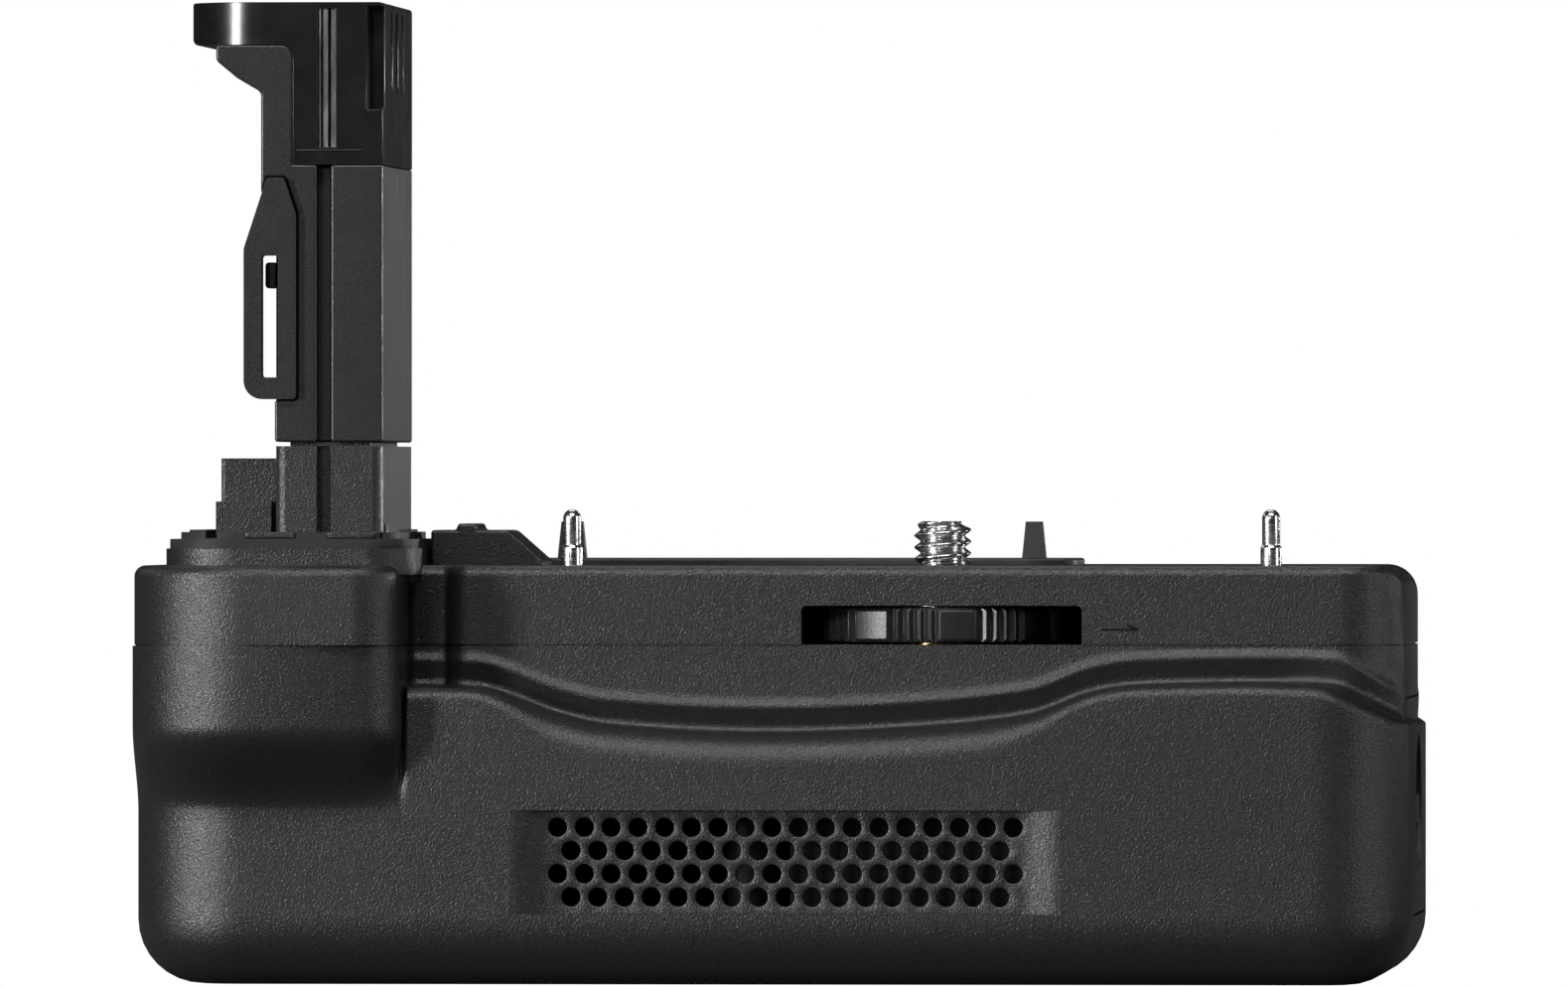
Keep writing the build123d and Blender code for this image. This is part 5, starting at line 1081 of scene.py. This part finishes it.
def panel_sheet():
    """Points and faces of the panel's front, open at the holes, with extra points in its ramps."""
    rim = [(x, GRILLE_LOW_Z) for x in GRILLE_X_STEPS]
    rim += [(GRILLE_RIGHT_X, z) for z in GRILLE_Z_STEPS[1:]]
    rim += [(x, GRILLE_HIGH_Z) for x in reversed(GRILLE_X_STEPS[:-1])]
    rim += [(GRILLE_LEFT_X, z) for z in line_points(GRILLE_HIGH_Z, GRILLE_LOW_Z, GRILLE_LINES)[1:-1]]
    flat = [Vector(point) for point in rim]
    loops = [list(range(len(rim)))]
    for centre in HOLES:
        loops.append(list(range(len(flat), len(flat) + HOLE_SIDES)))
        flat += [Vector(point) for point in hole_ring(centre, HOLE_RIM_RADIUS)]
    for reach in line_points(0.0, GRILLE_RAMP, 10)[1:]:
        for x in (GRILLE_LEFT_X + reach, GRILLE_RIGHT_X - reach):
            for z in line_points(GRILLE_LOW_Z, GRILLE_HIGH_Z, 12)[1:-1]:
                if clear_of_holes(x, z, HOLE_RIM_RADIUS + 0.12):
                    flat.append(Vector((x, z)))
    verts, _, tris, _, _, _ = delaunay_2d_cdt(flat, [], loops, 2, 1e-5)
    faces = []
    for tri in tris:
        middle_x = sum(verts[i].x for i in tri) / len(tri)
        middle_z = sum(verts[i].y for i in tri) / len(tri)
        if clear_of_holes(middle_x, middle_z, HOLE_RIM_RADIUS - 0.02):
            faces.append(tuple(tri))
    return [(v.x, FRONT_Y + panel_depth(v.x), v.y) for v in verts], faces


def add_tube(points, faces, centre):
    """A hole's small chamfer and the tube behind it, through the wall."""
    rings = []
    for radius, depth in (
        (HOLE_RIM_RADIUS, 0.0),
        (HOLE_RADIUS + 0.04, 0.05),
        (HOLE_RADIUS, 0.16),
        (HOLE_RADIUS, SHELL_WALL - GRILLE_DEPTH),
    ):
        rings.append(len(points))
        for x, z in hole_ring(centre, radius):
            sunk = GRILLE_DEPTH + depth if depth else panel_depth(x)
            points.append((x, FRONT_Y + sunk, z))
    for a, b in zip(rings, rings[1:]):
        for side in range(HOLE_SIDES):
            following = (side + 1) % HOLE_SIDES
            faces.append((a + side, a + following, b + following, b + side))


def add_step(points, faces, z, upward):
    """The small wall along the panel's lower or upper edge."""
    for x0, x1 in zip(GRILLE_X_STEPS, GRILLE_X_STEPS[1:]):
        start = len(points)
        for x in (x0, x1):
            points.append((x, FRONT_Y, z))
            points.append((x, FRONT_Y + panel_depth(x), z))
        quad = (start, start + 2, start + 3, start + 1)
        faces.append(quad if upward else quad[::-1])


def build_grille():
    """Sunk panel with rows of round holes, each with a small chamfer and a tube through the wall."""
    points, faces = panel_sheet()
    for centre in HOLES:
        add_tube(points, faces, centre)
    add_step(points, faces, GRILLE_LOW_Z, True)
    add_step(points, faces, GRILLE_HIGH_Z, False)
    panel = add_piece("grille_panel", points, faces, TEXTURED, "housing")
    bm = bmesh.new()
    bm.from_mesh(panel.data)
    bmesh.ops.remove_doubles(bm, verts=bm.verts, dist=0.00001)
    bmesh.ops.recalc_face_normals(bm, faces=bm.faces)
    if max(bm.faces, key=lambda face: face.calc_area()).normal.y > 0:
        bmesh.ops.reverse_faces(bm, faces=bm.faces)
    bm.to_mesh(panel.data)
    bm.free()
    smooth_by_angle(panel, 32)


build_grille()


# Small visible details


def add_prism(name, outline, place, material, body):
    """An extruded outline; place turns an outline point and a side, 0 or 1, into a point."""
    count = len(outline)
    points = [place(u, v, side) for side in (0, 1) for u, v in outline]
    faces = [tuple(reversed(range(count))), tuple(range(count, 2 * count))]
    faces += [(i, (i + 1) % count, count + (i + 1) % count, count + i) for i in range(count)]
    piece = add_piece(name, points, faces, material, body)
    bm = bmesh.new()
    bm.from_mesh(piece.data)
    bmesh.ops.recalc_face_normals(bm, faces=bm.faces)
    bm.to_mesh(piece.data)
    bm.free()
    return piece


# Arrow beside the wheel's window
ARROW_START_X = 35.6
ARROW_TIP_X = 39.7
ARROW_LOW_Z = 38.2
ARROW_SHAFT = 0.25
ARROW_PROUD = 0.035
ARROW_SUNK = 0.2


def build_turn_arrow():
    """Thin arrow beside the wheel's window: a long shaft with half a head."""
    tip = ARROW_TIP_X
    low = ARROW_LOW_Z
    top = low + ARROW_SHAFT
    outline = [
        (ARROW_START_X, low), (tip, low), (tip, top), (tip - 1.1, top + 0.5), (tip - 1.25, top + 0.33),
        (tip - 0.75, top), (ARROW_START_X, top),
    ]
    sides = (UPPER_FRONT_Y - ARROW_PROUD, UPPER_FRONT_Y + ARROW_SUNK)
    arrow = add_prism("turn_arrow", outline, lambda u, v, side: (u, sides[side], v), GLOSS, "housing")
    soften(arrow, 0.02, 1)


build_turn_arrow()


def shifted(span, start):
    """A stretch counted from a start."""
    return (start + span[0], start + span[1])


def add_slab(name, xs, ys, zs, radius, material):
    """A plate from its stretches in X, Y and Z, with corners rounded from above and softened edges."""
    outline = rounded_outline(*xs, *ys, radius, 4)
    slab = add_prism(name, outline, lambda u, v, side: (u, v, zs[side]), material, "housing")
    soften(slab, 0.08)


# Foot of the column; the collar's X is counted from the column's right face, each Y from its front
FOOT_CORNER = 0.3
FOOT_PLATES_X = ((-56.15, -50.7), (-47.3, -41.95))
FOOT_PLATE_Y = (-0.55, 0.6)
FOOT_PLATE_Z = (48.2, 48.84)
FOOT_COLLAR_X = (-1.4, 0.4)
FOOT_COLLAR_Y = (1.3, 6.0)
FOOT_COLLAR_Z = (48.3, 49.7)

# Ridge low on the cap, counted from the cap's right and top and the column's front
CAP_RIDGE_CORNER = 0.05
CAP_RIDGE_X = (-9.2, -2.2)
CAP_RIDGE_Y = (-0.07, 0.4)
CAP_RIDGE_Z = (-16.05, -15.88)

# Contacts in the cap's slots; X is counted from the column's right face, the first one's Y from its front
SLOT_CONTACTS = 3
SLOT_CONTACT_FIRST = 5.6
SLOT_CONTACT_PITCH = 3.8
SLOT_CONTACT_CORNER = 0.08
SLOT_CONTACT_X = (-0.32, -0.08)
SLOT_CONTACT_Y = (-0.22, 0.22)
SLOT_CONTACT_Z = (98.4, 101.0)


def build_column_details():
    """Foot plates, corner collar, the cap's lower ridge and the small contacts of the cap's slots."""
    block_low, block_high = corners_of("column_block")
    cap_right, _, cap_top = corners_of("column_cap")[1]
    right = block_high[0]
    front = block_low[1]
    for index, plate_x in enumerate(FOOT_PLATES_X):
        add_slab(
            f"foot_plate_{index + 1}", plate_x, shifted(FOOT_PLATE_Y, front), FOOT_PLATE_Z,
            FOOT_CORNER, TEXTURED,
        )
    add_slab(
        "foot_collar", shifted(FOOT_COLLAR_X, right), shifted(FOOT_COLLAR_Y, front), FOOT_COLLAR_Z,
        FOOT_CORNER, TEXTURED,
    )
    add_slab(
        "cap_ridge", shifted(CAP_RIDGE_X, cap_right), shifted(CAP_RIDGE_Y, front),
        shifted(CAP_RIDGE_Z, cap_top), CAP_RIDGE_CORNER, GLOSS,
    )
    for index in range(SLOT_CONTACTS):
        middle_y = front + SLOT_CONTACT_FIRST + SLOT_CONTACT_PITCH * index
        add_slab(
            f"slot_contact_{index + 1}", shifted(SLOT_CONTACT_X, right), shifted(SLOT_CONTACT_Y, middle_y),
            SLOT_CONTACT_Z, SLOT_CONTACT_CORNER, CONTACT,
        )


build_column_details()


# Floor, light and camera, in metres

FLOOR_GREY = 0.1
FLOOR_DROP = 0.0002
WORLD_STRENGTH = 0.015
CAMERA_LENS = 495.6
CAMERA_DISTANCE = 2.35
CAMERA_TURN = 3.75
CAMERA_HEIGHT = 0.053

# Name, place, point aimed at, size and power of each soft box
SOFT_BOXES = (
    ("key_softbox", (-1.24, -1.05, 0.24), (-0.03, 0, 0.035), (0.2, 0.5), 30.0),
    ("front_softbox", (-0.5, -1.8, 0.6), (0, 0, 0.05), (0.25, 0.3), 3.0),
    ("top_softbox", (0.05, -0.8, 1.05), (0, 0, 0.04), (0.9, 0.25), 12.0),
    ("right_softbox", (1.35, -0.45, 0.28), (-0.03, 0, 0.06), (0.25, 0.6), 5.0),
    ("back_softbox", (-0.1, 0.85, 1.5), (0, 0, 0.03), (1.0, 0.4), 4.5),
    ("left_fill", (-1.3, 0.75, 0.75), (0, 0, 0.03), (0.4, 0.4), 1.2),
)
RIM_LIGHT = ("column_rim_light", (0.75, 0.6, 0.16), (-0.038, 0, 0.085), (0.08, 0.12), 0.03)
RIM_LIGHT_SPREAD = 9


def add_area_light(name, place, target, size, power):
    """A soft box aimed at a point."""
    light = bpy.data.lights.new(name, "AREA")
    light.shape = "RECTANGLE"
    light.size = size[0]
    light.size_y = size[1]
    light.energy = power
    lamp = bpy.data.objects.new(name, light)
    bpy.context.collection.objects.link(lamp)
    lamp.location = place
    lamp.rotation_euler = (Vector(target) - Vector(place)).to_track_quat("-Z", "Y").to_euler()
    return lamp


def build_lights():
    """Soft boxes round the piece and a narrow light on the column's right face."""
    for soft_box in SOFT_BOXES:
        add_area_light(*soft_box)
    rim = add_area_light(*RIM_LIGHT)
    rim.data.spread = math.radians(RIM_LIGHT_SPREAD)


def build_floor():
    """A plain grey floor that is white to the camera."""
    bm = bmesh.new()
    bmesh.ops.create_grid(bm, x_segments=8, y_segments=8, size=6.0)
    mesh = bpy.data.meshes.new("floor")
    bm.to_mesh(mesh)
    bm.free()
    floor = bpy.data.objects.new("floor", mesh)
    floor.location = (0, 0, -FLOOR_DROP)
    bpy.context.collection.objects.link(floor)
    material, tree, shader = new_material("floor_paint")
    shader.inputs["Base Color"].default_value = (FLOOR_GREY, FLOOR_GREY, FLOOR_GREY, 1)
    shader.inputs["Roughness"].default_value = 0.9
    shader.inputs["Specular IOR Level"].default_value = 0.1
    white = tree.nodes.new("ShaderNodeEmission")
    white.inputs["Color"].default_value = (1, 1, 1, 1)
    mix = tree.nodes.new("ShaderNodeMixShader")
    path = tree.nodes.new("ShaderNodeLightPath")
    tree.links.new(path.outputs["Is Camera Ray"], mix.inputs["Fac"])
    tree.links.new(shader.outputs["BSDF"], mix.inputs[1])
    tree.links.new(white.outputs["Emission"], mix.inputs[2])
    tree.links.new(mix.outputs["Shader"], tree.nodes["Material Output"].inputs["Surface"])
    mesh.materials.append(material)


def build_world():
    """White to the camera, dark grey for light and reflections."""
    world = bpy.data.worlds.new("studio")
    bpy.context.scene.world = world
    world.use_nodes = True
    tree = world.node_tree
    tree.nodes.clear()
    output = tree.nodes.new("ShaderNodeOutputWorld")
    white = tree.nodes.new("ShaderNodeBackground")
    white.inputs["Color"].default_value = (1, 1, 1, 1)
    grey = tree.nodes.new("ShaderNodeBackground")
    grey.inputs["Color"].default_value = (1, 1, 1, 1)
    grey.inputs["Strength"].default_value = WORLD_STRENGTH
    mix = tree.nodes.new("ShaderNodeMixShader")
    path = tree.nodes.new("ShaderNodeLightPath")
    tree.links.new(path.outputs["Is Camera Ray"], mix.inputs["Fac"])
    tree.links.new(grey.outputs["Background"], mix.inputs[1])
    tree.links.new(white.outputs["Background"], mix.inputs[2])
    tree.links.new(mix.outputs["Shader"], output.inputs["Surface"])


def build_camera():
    """Level camera a little to the right of the front."""
    data = bpy.data.cameras.new("camera")
    data.lens = CAMERA_LENS
    data.sensor_width = 36.0
    data.clip_start = 0.05
    camera = bpy.data.objects.new("camera", data)
    bpy.context.collection.objects.link(camera)
    turn = math.radians(CAMERA_TURN)
    camera.location = (CAMERA_DISTANCE * math.sin(turn), -CAMERA_DISTANCE * math.cos(turn), CAMERA_HEIGHT)
    aim = Vector((0, 0, CAMERA_HEIGHT)) - camera.location
    camera.rotation_euler = aim.to_track_quat("-Z", "Y").to_euler()
    bpy.context.scene.camera = camera


build_floor()
build_world()
build_lights()
build_camera()
bpy.context.scene.view_settings.view_transform = "Standard"
